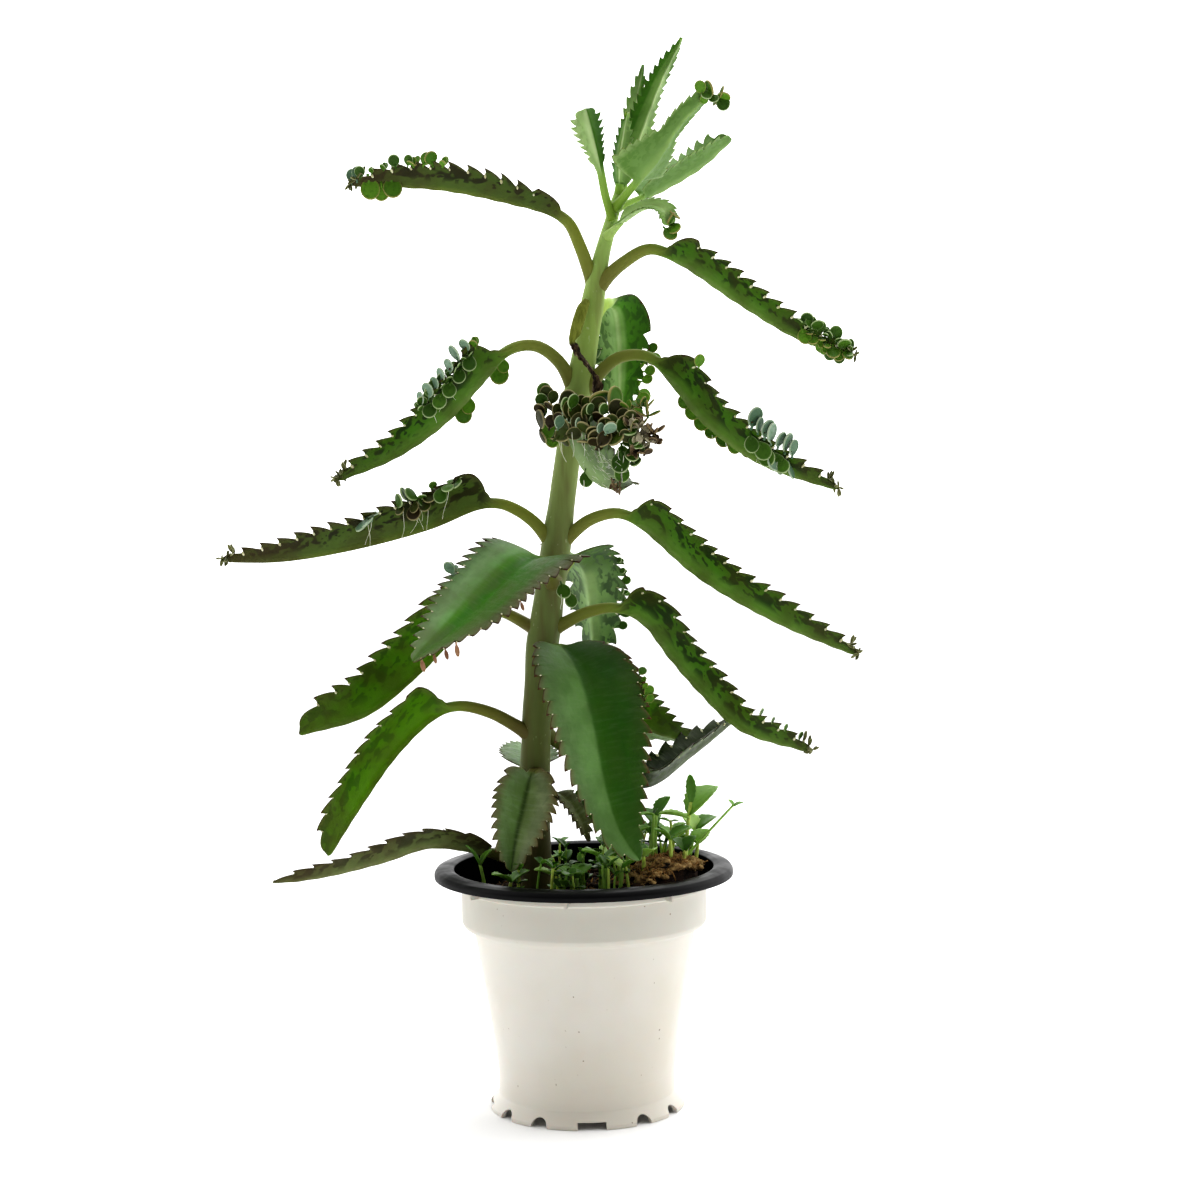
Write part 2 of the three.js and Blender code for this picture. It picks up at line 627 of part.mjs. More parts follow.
    name: "leaf_l_right", finish: leafBlueGreen, width: 14, fold: 32, roll: 14, teeth: 7, bladeFrom: 0.3,
    petiole: 1.4, stout: 0.8, heading: 300, lobes: 0.12, fullness: 0.9, sweep: 3,
    spine: [[13.8, -1, 305], [19.5, -8, 312], [27.5, -13, 320], [36, -16, 331], [42, -17, 340]],
    plantlets: [{ side: -1, from: 4, to: 6, size: 0.8 }, { side: 1, from: 4, to: 6, size: 0.8 }],
  },
];

// The growing tip: the youngest leaves, still upright and pressed together
const tipLeaves = [
  {
    name: "tall", width: 9.5, fold: 42, teeth: 9, bladeFrom: 0.12, lobes: 0.35, heading: 320, petiole: 1.4,
    stout: 0.8, fullness: 2.6,
    spine: [[15.6, 0, 310], [19, 4, 320], [24.5, 7, 335], [31, 8, 350.5], [37.5, 8, 362.5]],
  },
  {
    name: "dark", width: 6, fold: 40, teeth: 6, bladeFrom: 0.15, lobes: 0.3, heading: 60, petiole: 1.2,
    stout: 0.8,
    spine: [[15.6, 1, 310], [19.5, 9, 325.5], [22, 14, 341], [24.5, 16, 355]],
  },
  {
    name: "side", width: 5, fold: 40, teeth: 5, bladeFrom: 0.15, lobes: 0.3, heading: 250, petiole: 1.2,
    stout: 0.8,
    spine: [[15.4, 0, 310], [16, -5, 322], [18.5, -8, 336]],
  },
];

// The soil: peat that fills the pot, low at the left and heaped up at the right
function soilHeight(x, y) {
  const heap = 10 * Math.exp(-((x - 30) ** 2 + (y + 6) ** 2) / 420);
  const slope = 73.5 + 0.045 * x - 0.03 * y;
  const lumps = 0.9 * Math.sin(x * 0.55 + 1.3) * Math.cos(y * 0.6) + 0.6 * Math.sin(x * 1.3 - y * 0.9);
  return slope + heap + lumps;
}

function makeSoil() {
  const rings = [8, 16, 24, 32, 38.9];
  const sideRows = [[38.9, ledgeHeight + 3], [35, 61.4], [32, 44], [29.4, 28], [27.4, 13], [27.2, 7.8]];
  const sides = 24;
  const positions = [0, 0, soilHeight(0, 0)];
  const triangles = [];
  const addRing = (radius, height) => {
    for (let k = 0; k < sides; k++) {
      const turn = (k / sides) * Math.PI * 2;
      const x = radius * Math.cos(turn);
      const y = radius * Math.sin(turn);
      positions.push(x, y, height ?? soilHeight(x, y));
    }
  };
  rings.forEach((radius) => addRing(radius));
  sideRows.forEach(([radius, height]) => addRing(radius, height));
  for (let k = 0; k < sides; k++) triangles.push(0, 1 + k, 1 + (k + 1) % sides);
  const rows = rings.length + sideRows.length;
  for (let row = 0; row < rows - 1; row++) {
    for (let k = 0; k < sides; k++) {
      const a = 1 + row * sides + k;
      const b = 1 + row * sides + (k + 1) % sides;
      triangles.push(a, a + sides, b + sides, a, b + sides, b);
    }
  }
  const bottom = positions.length / 3;
  positions.push(0, 0, sideRows.at(-1)[1]);
  const lastRow = 1 + (rows - 1) * sides;
  for (let k = 0; k < sides; k++) triangles.push(bottom, lastRow + (k + 1) % sides, lastRow + k);
  return solidOfMesh(positions, triangles);
}

// Sprouts: fallen plantlets that have rooted in the peat. Each row is the foot's x and y, the
// height of its stalk above the peat, its lean in x and y, and its leaves as height share,
// direction in degrees, length, width and rise in degrees.
const sprouts = [
  { foot: [25, -5], height: 15, lean: [0, 1], leaves: [[0.75, 165, 10, 8, 35], [1, 30, 9, 8, 50]] },
  {
    foot: [34.5, -10], height: 20, lean: [2, 0],
    leaves: [[0.75, 182, 12, 5, 12], [1, 95, 12, 5, 82], [0.85, 0, 15, 10, 25]],
  },
  { foot: [36, 4], height: 14, lean: [1.5, 1], leaves: [[1, 5, 11, 8, 38], [1, 170, 8, 7, 45]] },
  { foot: [29, -18], height: 8, lean: [0, 0], leaves: [[1, 20, 9, 8, 30], [1, 200, 7, 6, 40]] },
  { foot: [20, -24], height: 6, lean: [0, -1], leaves: [[1, 300, 8, 6, 30], [1, 120, 7, 6, 35]] },
  { foot: [-33, -8], height: 12, lean: [-2, 0], leaves: [[1, 190, 9, 4, 60], [1, 20, 7, 4, 55]] },
  { foot: [-24, -24], height: 9, lean: [0, 0], leaves: [[1, 210, 8, 6, 30], [1, 30, 8, 6, 30]] },
  { foot: [-9, -25], height: 11, lean: [0, -1], leaves: [[1, 190, 8, 6, 25], [1, 10, 8, 6, 30]] },
  { foot: [-2, -31], height: 10, lean: [0, -1], leaves: [[1, 240, 8, 7, 20], [1, 60, 8, 7, 30]] },
  { foot: [6, -24], height: 13, lean: [1, -1], leaves: [[1, 200, 9, 7, 30], [1, 20, 9, 7, 25]] },
  { foot: [12, -31], height: 9, lean: [1, -1], leaves: [[1, 150, 8, 6, 25], [1, 330, 8, 6, 30]] },
  { foot: [15, -15], height: 12, lean: [0, 0], leaves: [[1, 180, 9, 7, 35], [1, 0, 9, 7, 35]] },
  { foot: [6, 17], height: 9, lean: [0, 1], leaves: [[1, 45, 8, 6, 30], [1, 225, 8, 6, 30]] },
  { foot: [-22, 20], height: 8, lean: [-0.5, 0.5], leaves: [[1, 130, 8, 6, 30], [1, 310, 8, 6, 30]] },
];

// A four-sided bar between two points
function squareBar(from, to, fromRadius, toRadius) {
  const axis = to.clone().sub(from);
  const bar = new THREE.CylinderGeometry(toRadius, fromRadius, axis.length(), 4);
  bar.rotateX(Math.PI / 2);
  bar.translate(0, 0, axis.length() / 2);
  bar.applyQuaternion(new THREE.Quaternion().setFromUnitVectors(upward, axis.normalize()));
  bar.translate(from.x, from.y, from.z);
  return solidOfGeometry(bar);
}

function makeSprout({ foot, height, lean, leaves: blades }) {
  const ground = soilHeight(...foot);
  const root = new THREE.Vector3(foot[0], foot[1], ground - stalkDepth);
  const top = new THREE.Vector3(foot[0] + lean[0], foot[1] + lean[1], ground + height);
  let solid = squareBar(root, top, stalkRadius, stalkRadius * 0.8);
  for (const [share, direction, length, width, rise] of blades) {
    const from = new THREE.Vector3(foot[0], foot[1], ground).lerp(top, share);
    from.z -= 0.6;
    solid = solid.add(sproutBlade(from, direction, length, width, rise));
  }
  return solid;
}

// A small oval blade with a thick middle
function sproutBlade(from, direction, length, width, rise) {
  const heading = new THREE.Vector3(Math.cos(degrees(direction)), Math.sin(degrees(direction)), 0);
  const along = heading.clone().multiplyScalar(Math.cos(degrees(rise)));
  along.addScaledVector(upward, Math.sin(degrees(rise)));
  const across = upward.clone().cross(heading);
  const normal = along.clone().cross(across);
  const outline = [[-0.06, 0], [0.25, 0.36], [0.6, 0.5], [1, 0], [0.6, -0.5], [0.25, -0.36]];
  const points = outline.map(([share, side]) => from.clone()
    .addScaledVector(along, share * length).addScaledVector(across, side * width));
  const middle = from.clone().addScaledVector(along, 0.45 * length);
  return lens(points, middle, normal, 0.7, 0.9);
}

function sproutHole({ foot, height, lean }) {
  const ground = soilHeight(...foot);
  const reach = (height + stalkDepth + fit) / height;
  const from = new THREE.Vector3(
    foot[0] - lean[0] * (reach - 1), foot[1] - lean[1] * (reach - 1), ground - stalkDepth - fit);
  const to = new THREE.Vector3(foot[0] + lean[0] * 0.4, foot[1] + lean[1] * 0.4, ground + 6);
  return squareBar(from, to, 1.9, 2.2);
}

// The assembly
const plant = new THREE.Group();
const holes = drainHoles();
plant.add(meshOfSolid("pot_wall", makePotWall().subtract(holes), whitePlastic));
plant.add(meshOfSolid("pot_lining", makePotLining().subtract(holes), blackPlastic));
plant.add(meshOfSolid("stem", makeStem(0), stemGreen));

const stemSpace = makeStem(fit);
let soil = makeSoil().subtract(stemSpace);
sprouts.forEach((sprout, i) => {
  soil = soil.subtract(sproutHole(sprout));
  plant.add(meshOfSolid(`sprout_${String(i + 1).padStart(2, "0")}`, makeSprout(sprout), sproutGreen));
});
plant.add(meshOfSolid("soil", soil, peat));

for (const leaf of leaves) {
  plant.add(meshOfSolid(leaf.name, makeLeaf(leaf).subtract(stemSpace), leaf.finish));
}
plant.add(meshOfSolid("growing_tip", join(tipLeaves.map(makeLeaf)).subtract(stemSpace), leafGreen));

const box = new THREE.Box3().setFromObject(plant);
const middle = box.getCenter(new THREE.Vector3());
plant.position.set(-middle.x, -middle.y, -box.min.z);

export default plant;
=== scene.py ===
import math
import random
import bpy
import numpy as np
from mathutils import Matrix, Vector, noise


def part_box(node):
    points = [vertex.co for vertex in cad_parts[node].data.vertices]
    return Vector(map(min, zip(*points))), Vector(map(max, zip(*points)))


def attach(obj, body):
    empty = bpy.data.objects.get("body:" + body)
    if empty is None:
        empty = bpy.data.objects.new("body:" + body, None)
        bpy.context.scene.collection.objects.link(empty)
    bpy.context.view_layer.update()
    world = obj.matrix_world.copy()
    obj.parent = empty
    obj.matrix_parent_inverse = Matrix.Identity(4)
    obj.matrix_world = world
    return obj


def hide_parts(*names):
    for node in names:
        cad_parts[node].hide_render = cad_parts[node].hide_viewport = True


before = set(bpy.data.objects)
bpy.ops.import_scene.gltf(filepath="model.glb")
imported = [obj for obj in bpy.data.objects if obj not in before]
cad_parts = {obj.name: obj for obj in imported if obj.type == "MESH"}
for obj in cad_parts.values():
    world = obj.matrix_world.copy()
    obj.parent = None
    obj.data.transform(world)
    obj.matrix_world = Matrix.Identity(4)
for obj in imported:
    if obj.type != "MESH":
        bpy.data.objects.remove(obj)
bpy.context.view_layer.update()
bpy.ops.object.select_all(action="DESELECT")
print("frame loaded")

# Every size is in millimetres about the pot's axis and above its foot, as in the part's source
mm = 0.001
potLow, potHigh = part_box("pot_wall")
potAxis = np.array([(potLow.x + potHigh.x) / 2, (potLow.y + potHigh.y) / 2, potLow.z])


def metres(points):
    return potAxis + np.asarray(points, float) * mm


def smooth(value):
    clipped = np.clip(value, 0, 1)
    return clipped * clipped * (3 - 2 * clipped)


def unit(vectors):
    return vectors / np.linalg.norm(vectors, axis=-1, keepdims=True)


def lineAt(line, shares, place):
    # The points of a line at shares of its length
    return np.stack([np.interp(place, shares, line[:, axis]) for axis in range(3)], -1)


# Handling pieces

def selectOnly(pieces):
    bpy.ops.object.select_all(action="DESELECT")
    for piece in pieces:
        piece.select_set(True)
    bpy.context.view_layer.objects.active = pieces[0]


def joinPieces(pieces, name):
    selectOnly(pieces)
    if len(pieces) > 1:
        bpy.ops.object.join()
    piece = bpy.context.object
    piece.name = name
    piece.data.name = name
    return piece


def closeSeams(piece, gap=0.004):
    # Points that lie on each other become one, and the faces then point outwards
    selectOnly([piece])
    bpy.ops.object.mode_set(mode="EDIT")
    bpy.ops.mesh.select_all(action="SELECT")
    bpy.ops.mesh.remove_doubles(threshold=gap * mm)
    bpy.ops.mesh.normals_make_consistent(inside=False)
    bpy.ops.object.mode_set(mode="OBJECT")
    bpy.ops.object.shade_smooth()


def addAttribute(piece, name, values):
    values = np.asarray(values, np.float32)
    kind, key = ("FLOAT", "value") if values.ndim == 1 else ("FLOAT_VECTOR", "vector")
    attribute = piece.data.attributes.new(name, kind, "POINT")
    attribute.data.foreach_set(key, values.ravel())


def gridPiece(name, places, attributes=None):
    # A grid whose rows and columns are laid at the given places, then closed into a skin
    rows, columns = places.shape[:2]
    bpy.ops.mesh.primitive_grid_add(x_subdivisions=columns - 1, y_subdivisions=rows - 1, size=1)
    piece = bpy.context.object
    piece.name = name
    piece.data.name = name
    piece.data.vertices.foreach_set("co", places.astype(np.float32).ravel())
    for key, values in (attributes or {}).items():
        values = np.asarray(values, float)
        flat = values.reshape(rows * columns, -1) if values.ndim == 3 else values.ravel()
        addAttribute(piece, key, flat)
    piece.data.update()
    closeSeams(piece)
    return piece


def roundSection(half):
    # Shares over the upper side of a blade and back under it, and which side each one is on
    shares = np.concatenate([np.linspace(-1, 1, half + 1), np.linspace(1, -1, half + 1)[1:]])
    return shares[None, :], np.concatenate([np.ones(half + 1), -np.ones(half)])[None, :]


def tubeGrid(line, radii, around, flat=1.0):
    # Rings of points round a line, with both ends drawn to a point
    line = np.asarray(line, float)
    tangents = unit(np.gradient(line, axis=0))
    reference = np.array([0.3, 1, 0.2]) if abs(tangents[0][2]) > 0.7 else np.array([0.1, 0.2, 1])
    across = unit(np.cross(tangents, reference))
    normal = np.cross(across, tangents)
    turn = np.linspace(0, 2 * math.pi, around + 1)
    radii = np.asarray(radii, float)[:, None, None]
    rings = line[:, None] + radii * (np.cos(turn)[None, :, None] * across[:, None]
                                     + flat * np.sin(turn)[None, :, None] * normal[:, None])
    first = np.repeat(line[:1, None], around + 1, axis=1)
    last = np.repeat(line[-1:, None], around + 1, axis=1)
    return np.concatenate([first, rings, last])


def copyTemplate(template, placings, name, tints=None):
    # What repeats is modelled once, and each copy has its own mesh
    copies = []
    for index, placing in enumerate(placings):
        copy = template.copy()
        copy.data = template.data.copy()
        copy.data.transform(placing)
        bpy.context.collection.objects.link(copy)
        if tints is not None:
            addAttribute(copy, "tint", np.full(len(copy.data.vertices), tints[index]))
        copies.append(copy)
    return joinPieces(copies, name)


def placing(origin, outward, facing, length, width=None, height=None):
    # Where a template goes: its X lies along outward, and its Z as near to facing as it can
    outward = unit(np.asarray(outward, float))
    sideways = unit(np.cross(facing, outward))
    upward = np.cross(outward, sideways)
    matrix = Matrix.Identity(4)
    sizes = (length, width or length, height or width or length)
    for column, (axis, size) in enumerate(zip((outward, sideways, upward), sizes)):
        for row in range(3):
            matrix[row][column] = axis[row] * size
    matrix.translation = Vector(metres(origin))
    return matrix


def dress(piece, material, slotName, *nodes):
    piece.data.materials.clear()
    piece.data.materials.append(material)
    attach(piece, "root")
    if nodes:
        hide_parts(*nodes)


# Materials

def tone(code):
    # A colour as it is picked on screen, turned into the linear values that sockets hold
    parts = [int(code[i:i + 2], 16) / 255 for i in (1, 3, 5)]
    linear = [part / 12.92 if part <= 0.04045 else ((part + 0.055) / 1.055) ** 2.4 for part in parts]
    return linear + [1]


def newMaterial(name, roughness, specular=0.5):
    material = bpy.data.materials.new(name)
    material.use_nodes = True
    shader = material.node_tree.nodes["Principled BSDF"]
    shader.inputs["Roughness"].default_value = roughness
    shader.inputs["Specular IOR Level"].default_value = specular
    return material, material.node_tree, shader


def feed(tree, socket, value):
    if isinstance(value, bpy.types.NodeSocket):
        tree.links.new(value, socket)
    else:
        socket.default_value = value


def maths(tree, operation, first, second=0.0):
    node = tree.nodes.new("ShaderNodeMath")
    node.operation = operation
    feed(tree, node.inputs[0], first)
    feed(tree, node.inputs[1], second)
    return node.outputs[0]


def remap(tree, value, low, high, toLow=0.0, toHigh=1.0):
    node = tree.nodes.new("ShaderNodeMapRange")
    node.interpolation_type = "SMOOTHSTEP"
    feed(tree, node.inputs["Value"], value)
    for key, number in (("From Min", low), ("From Max", high), ("To Min", toLow), ("To Max", toHigh)):
        node.inputs[key].default_value = number
    return node.outputs["Result"]


def mixColour(tree, factor, first, second, blend="MIX"):
    node = tree.nodes.new("ShaderNodeMix")
    node.data_type = "RGBA"
    node.blend_type = blend
    feed(tree, node.inputs["Factor"], factor)
    feed(tree, node.inputs["A"], first)
    feed(tree, node.inputs["B"], second)
    return node.outputs["Result"]


def ramp(tree, value, stops):
    node = tree.nodes.new("ShaderNodeValToRGB")
    node.color_ramp.interpolation = "EASE"
    elements = node.color_ramp.elements
    for element, (place, code) in zip(elements, (stops[0], stops[-1])):
        element.position = place
        element.color = tone(code)
    for place, code in stops[1:-1]:
        elements.new(place).color = tone(code)
    feed(tree, node.inputs["Fac"], value)
    return node.outputs["Color"]


def attribute(tree, name, output="Fac"):
    node = tree.nodes.new("ShaderNodeAttribute")
    node.attribute_name = name
    return node.outputs[output]


def parts(tree, vector):
    node = tree.nodes.new("ShaderNodeSeparateXYZ")
    feed(tree, node.inputs[0], vector)
    return node.outputs


def noisePattern(tree, vector, scale, detail=2.0, stretch=(1, 1, 1), roughness=0.5):
    mapping = tree.nodes.new("ShaderNodeMapping")
    mapping.inputs["Scale"].default_value = stretch
    feed(tree, mapping.inputs["Vector"], vector)
    node = tree.nodes.new("ShaderNodeTexNoise")
    node.inputs["Scale"].default_value = scale
    node.inputs["Detail"].default_value = detail
    node.inputs["Roughness"].default_value = roughness
    feed(tree, node.inputs["Vector"], mapping.outputs["Vector"])
    return node.outputs["Fac"]


def objectPlace(tree):
    return tree.nodes.new("ShaderNodeTexCoord").outputs["Object"]


def bump(tree, shader, height, strength, distance):
    node = tree.nodes.new("ShaderNodeBump")
    node.inputs["Strength"].default_value = strength
    node.inputs["Distance"].default_value = distance * mm
    feed(tree, node.inputs["Height"], height)
    tree.links.new(node.outputs["Normal"], shader.inputs["Normal"])


def fleshy(shader, weight, depth):
    # Light that goes a little way into soft green tissue
    shader.inputs["Subsurface Weight"].default_value = weight
    shader.inputs["Subsurface Radius"].default_value = (0.6, 1.0, 0.25)
    shader.inputs["Subsurface Scale"].default_value = depth * mm


# Leaf colours. Upper stops run from one margin over the rib at 0.5 to the other margin, lower
# stops from the rib to the margin (or, as lowerBoth, over both halves too). The stops called both
# hold above and below. Petiole stops run from the stem to the blade.
def bothWays(stops):
    # Stops from one margin to the rib, and the same from there to the other margin
    return stops + [(1 - place, code) for place, code in stops[-2::-1]]


frontColours = {
    "lower": [(0, "#6c7a3c"), (0.2, "#4a5c2c"), (0.8, "#434e28"), (1, "#4a4530")],
    "petiole": [(0, "#5e5c34"), (0.6, "#667034"), (1, "#5c742c")],
    "blotch": "#2c3a16",
}

leafLooks = {
    "vivid": {
        "upper": bothWays([(0, "#4c5a30"), (0.2, "#5a7e40"), (0.5, "#5a8834")]),
        "lower": [(0, "#7c9658"), (0.14, "#587e30"), (0.4, "#44701a"), (0.75, "#3f6814"),
                  (0.93, "#4a5e28"), (1, "#4a4c22")],
        "petiole": [(0, "#6c6c38"), (0.6, "#747c3c"), (1, "#6c8438")],
        "blotch": "#14240a", "blotches": 0.85, "tooth": "#3c2616", "tip": "#40401a", "tipShare": 0.5,
    },
    "bright": {
        "upper": bothWays([(0, "#4c6634"), (0.25, "#5c8842"), (0.5, "#5a8a38")]),
        "lower": [(0, "#6c8a34"), (0.1, "#54840c"), (0.7, "#487a08"), (0.93, "#54702c"), (1, "#4a5220")],
        "petiole": [(0, "#5c5430"), (0.6, "#6a6c30"), (1, "#6c8830")],
        "blotch": "#24460a", "blotches": 0.6, "tooth": "#3f2614", "tip": "#48481a", "tipShare": 0.45,
    },
    "dull": {
        "upper": bothWays([(0, "#484c32"), (0.2, "#4f6540"), (0.5, "#4c6834")]),
        "lower": [(0, "#66743a"), (0.12, "#4c602a"), (0.7, "#435824"), (0.93, "#484e2c"),
                  (1, "#413e28")],
        "petiole": [(0, "#6c7036"), (0.6, "#767e36"), (1, "#6a7a38")],
        "blotch": "#20220e", "blotches": 0.95, "tooth": "#38281a", "tip": "#3f361c", "tipShare": 0.75,
    },
    "elder": {
        "upper": bothWays([(0, "#504d38"), (0.2, "#5a6444"), (0.5, "#526034")]),
        "lower": [(0, "#747c54"), (0.2, "#66744a"), (0.7, "#56603a"), (1, "#4c4530")],
        "petiole": [(0, "#52462c"), (0.6, "#56522e"), (1, "#586030")],
        "blotch": "#2a2918", "blotches": 0.8, "tooth": "#382818", "tip": "#4a3e2a", "tipShare": 0.6,
    },
    # Painted sheen: the lighter bluish half of the upper side stands for the soft light reflected by the
    # waxy bloom
    "frontGlaucousSheen": {
        "upper": [(0, "#666858"), (0.1, "#6f8c68"), (0.22, "#7c9c74"), (0.32, "#74a068"),
                  (0.39, "#4c8422"), (0.46, "#35700c"), (0.76, "#386410"), (0.92, "#4c5534"),
                  (1, "#58503c")],
        **frontColours,
        "blotches": 0.25, "streaks": 0.08, "tooth": "#3c2418", "tip": "#565e3e", "tipShare": 0.5,
    },
    # Painted sheen: the lighter half of the upper side stands for soft light reflected from it; the
    # other half is dark green
    "frontHanging": {
        "upper": [(0, "#66654e"), (0.1, "#5c7850"), (0.3, "#5c804c"), (0.44, "#5a7e48"),
                  (0.52, "#2c580c"), (0.75, "#1f4c02"), (0.93, "#2a4812"), (1, "#4c4228")],
        **frontColours,
        "blotches": 0.3, "streaks": 0.04, "tooth": "#44281a", "tip": "#345216", "tipShare": 0.4,
    },
    "frontGrey": {
        "upper": [(0, "#77705a"), (0.2, "#6f8a5f"), (0.4, "#6a8a52"), (0.5, "#3a5222"),
                  (0.6, "#74885c"), (0.8, "#838e74"), (1, "#75684f")],
        **frontColours,
        "petiole": [(0, "#504628"), (0.6, "#5c5c30"), (1, "#566830")],
        "blotches": 0.4, "tooth": "#3c2418", "tip": "#4c5e34", "tipShare": 0.2,
    },
    "backPale": {
        "upper": bothWays([(0, "#4c5c3c"), (0.2, "#4c6c3c"), (0.5, "#527c38")]),
        "lower": [(0, "#a3bf90"), (0.3, "#8aac78"), (0.75, "#6f9060"), (1, "#58684a")],
        "petiole": [(0, "#767f38"), (0.6, "#7c8c40"), (1, "#7c9a4c")],
        "blotch": "#34483c", "blotches": 0.85, "blotchSize": (3.4, 2.6), "tooth": "#38281c",
        "tip": "#64785a", "tipShare": 0.3, "baseTone": "#3f6420",
    },
    "backDark": {
        "upper": bothWays([(0, "#1c260c"), (0.3, "#162608"), (0.5, "#1c3210")]),
        "lower": [(0, "#525f46"), (0.4, "#4a583f"), (0.8, "#66765a"), (1, "#2f3622")],
        "petiole": [(0, "#5c6034"), (0.6, "#5c6a38"), (1, "#4c6030")],
        "blotch": "#2f3a2c", "blotches": 0.7, "tooth": "#2c2014", "tip": "#3c4430", "tipShare": 0.5,
    },
    "cup": {
        "upper": bothWays([(0, "#2c3a1c"), (0.5, "#44642c")]),
        "lower": [(0, "#8fa87c"), (0.2, "#86a474"), (0.75, "#6c8c58"), (1, "#4c5c3c")],
        "petiole": [(0, "#767f38"), (0.6, "#7c8c40"), (1, "#7c9a4c")],
        "blotch": "#4c5a4c", "blotches": 0.7, "tooth": "#38281c", "tip": "#6f7c68", "tipShare": 0.5,
    },
    "mint": {
        "upper": bothWays([(0, "#3f6c1f"), (0.2, "#4c8430"), (0.5, "#90b874")]),
        "lowerBoth": [(0, "#3c4c20"), (0.06, "#38680f"), (0.36, "#4c8420"), (0.44, "#80a864"),
                      (0.5, "#b4d0a0"), (0.55, "#88ac72"), (0.8, "#76985e"), (1, "#5f7e50")],
        "petiole": [(0, "#8aa044"), (0.6, "#a0bc60"), (1, "#c0dca4")],
        "blotch": "#1c3a08", "blotches": 0.6, "blotchSize": (3.6, 2.8), "tooth": "#3c2818",
        "tip": "#3c6418", "tipShare": 0.4,
    },
    "young": {
        "upper": bothWays([(0, "#66824a"), (0.2, "#749660"), (0.5, "#6c9050")]),
        "lower": [(0, "#8aa86c"), (0.2, "#6f9156"), (0.7, "#64874a"), (1, "#90a878")],
        "petiole": [(0, "#7a983e"), (0.6, "#86a852"), (1, "#86aa60")],
        "blotch": "#446a28", "blotches": 0.35, "blotchSize": (2.4, 1.6), "tooth": "#6c7a48",
        "tip": "#5f7f48", "tipShare": 0.2,
    },
    # Paler than young: partly the pale underside, partly painted light that lifts the leaf out of the
    # shade it lies in
    "youngPale": {
        "upper": [(0, "#587e30"), (0.15, "#86a86a"), (0.5, "#a8c48c"), (0.85, "#9cbc80"),
                  (1, "#7c9c60")],
        "lower": [(0, "#b8d09c"), (0.3, "#a4c088"), (0.8, "#94b478"), (1, "#7c9c60")],
        "petiole": [(0, "#9cb870"), (0.6, "#a0bc78"), (1, "#9cba74")],
        "blotch": "#5c8038", "blotches": 0.4, "blotchSize": (2.4, 1.6), "tooth": "#5c6c38",
        "tip": "#7c9c60", "tipShare": 0.3,
    },
    "youngHalves": {
        "both": [(0, "#a8c090"), (0.3, "#9cba84"), (0.48, "#b4cca0"), (0.54, "#3f6a1c"),
                 (0.8, "#34601a"), (1, "#466c24")],
        "petiole": [(0, "#7a983e"), (0.6, "#86a852"), (1, "#86aa60")],
        "blotch": "#3c6020", "blotches": 0.2, "tooth": "#4a5a28", "tip": "#64844c", "tipShare": 0.15,
    },
    "tip": {
        "both": [(0, "#3c641c"), (0.26, "#457620"), (0.34, "#6f9450"), (0.46, "#7a9c5c"),
                 (0.52, "#cfe2bc"), (0.58, "#9cb884"), (1, "#7c9c60")],
        "petiole": [(0, "#7a983e"), (0.6, "#86a852"), (1, "#7ca850")],
        "blotch": "#24460c", "blotches": 0.3, "tooth": "#4a4420", "tip": "#3c641c", "tipShare": 0.3,
    },
}

# The size of blotches and of spots in millimetres, and the strengths of noise at their edges
spotForm = {
    "size": (5.5, 3.4),
    "edge": (0.505, 0.575),
    "smallSize": (2.6, 1.8),
    "smallEdge": (0.59, 0.64),
}


def blotchPattern(tree, place, size):
    # Noise drawn out to the size in millimetres, and slanting towards the rib on both halves
    along, distance, seed = parts(tree, place)
    gather = tree.nodes.new("ShaderNodeCombineXYZ")
    feed(tree, gather.inputs["X"], along)
    feed(tree, gather.inputs["Y"], maths(tree, "ABSOLUTE", distance))
    feed(tree, gather.inputs["Z"], maths(tree, "ADD", seed, maths(tree, "SIGN", distance)))
    mapping = tree.nodes.new("ShaderNodeMapping")
    mapping.vector_type = "TEXTURE"
    mapping.inputs["Rotation"].default_value = (0, 0, -0.3)
    mapping.inputs["Scale"].default_value = (*size, 1)
    feed(tree, mapping.inputs["Vector"], gather.outputs["Vector"])
    return noisePattern(tree, mapping.outputs["Vector"], 1, 1.2)


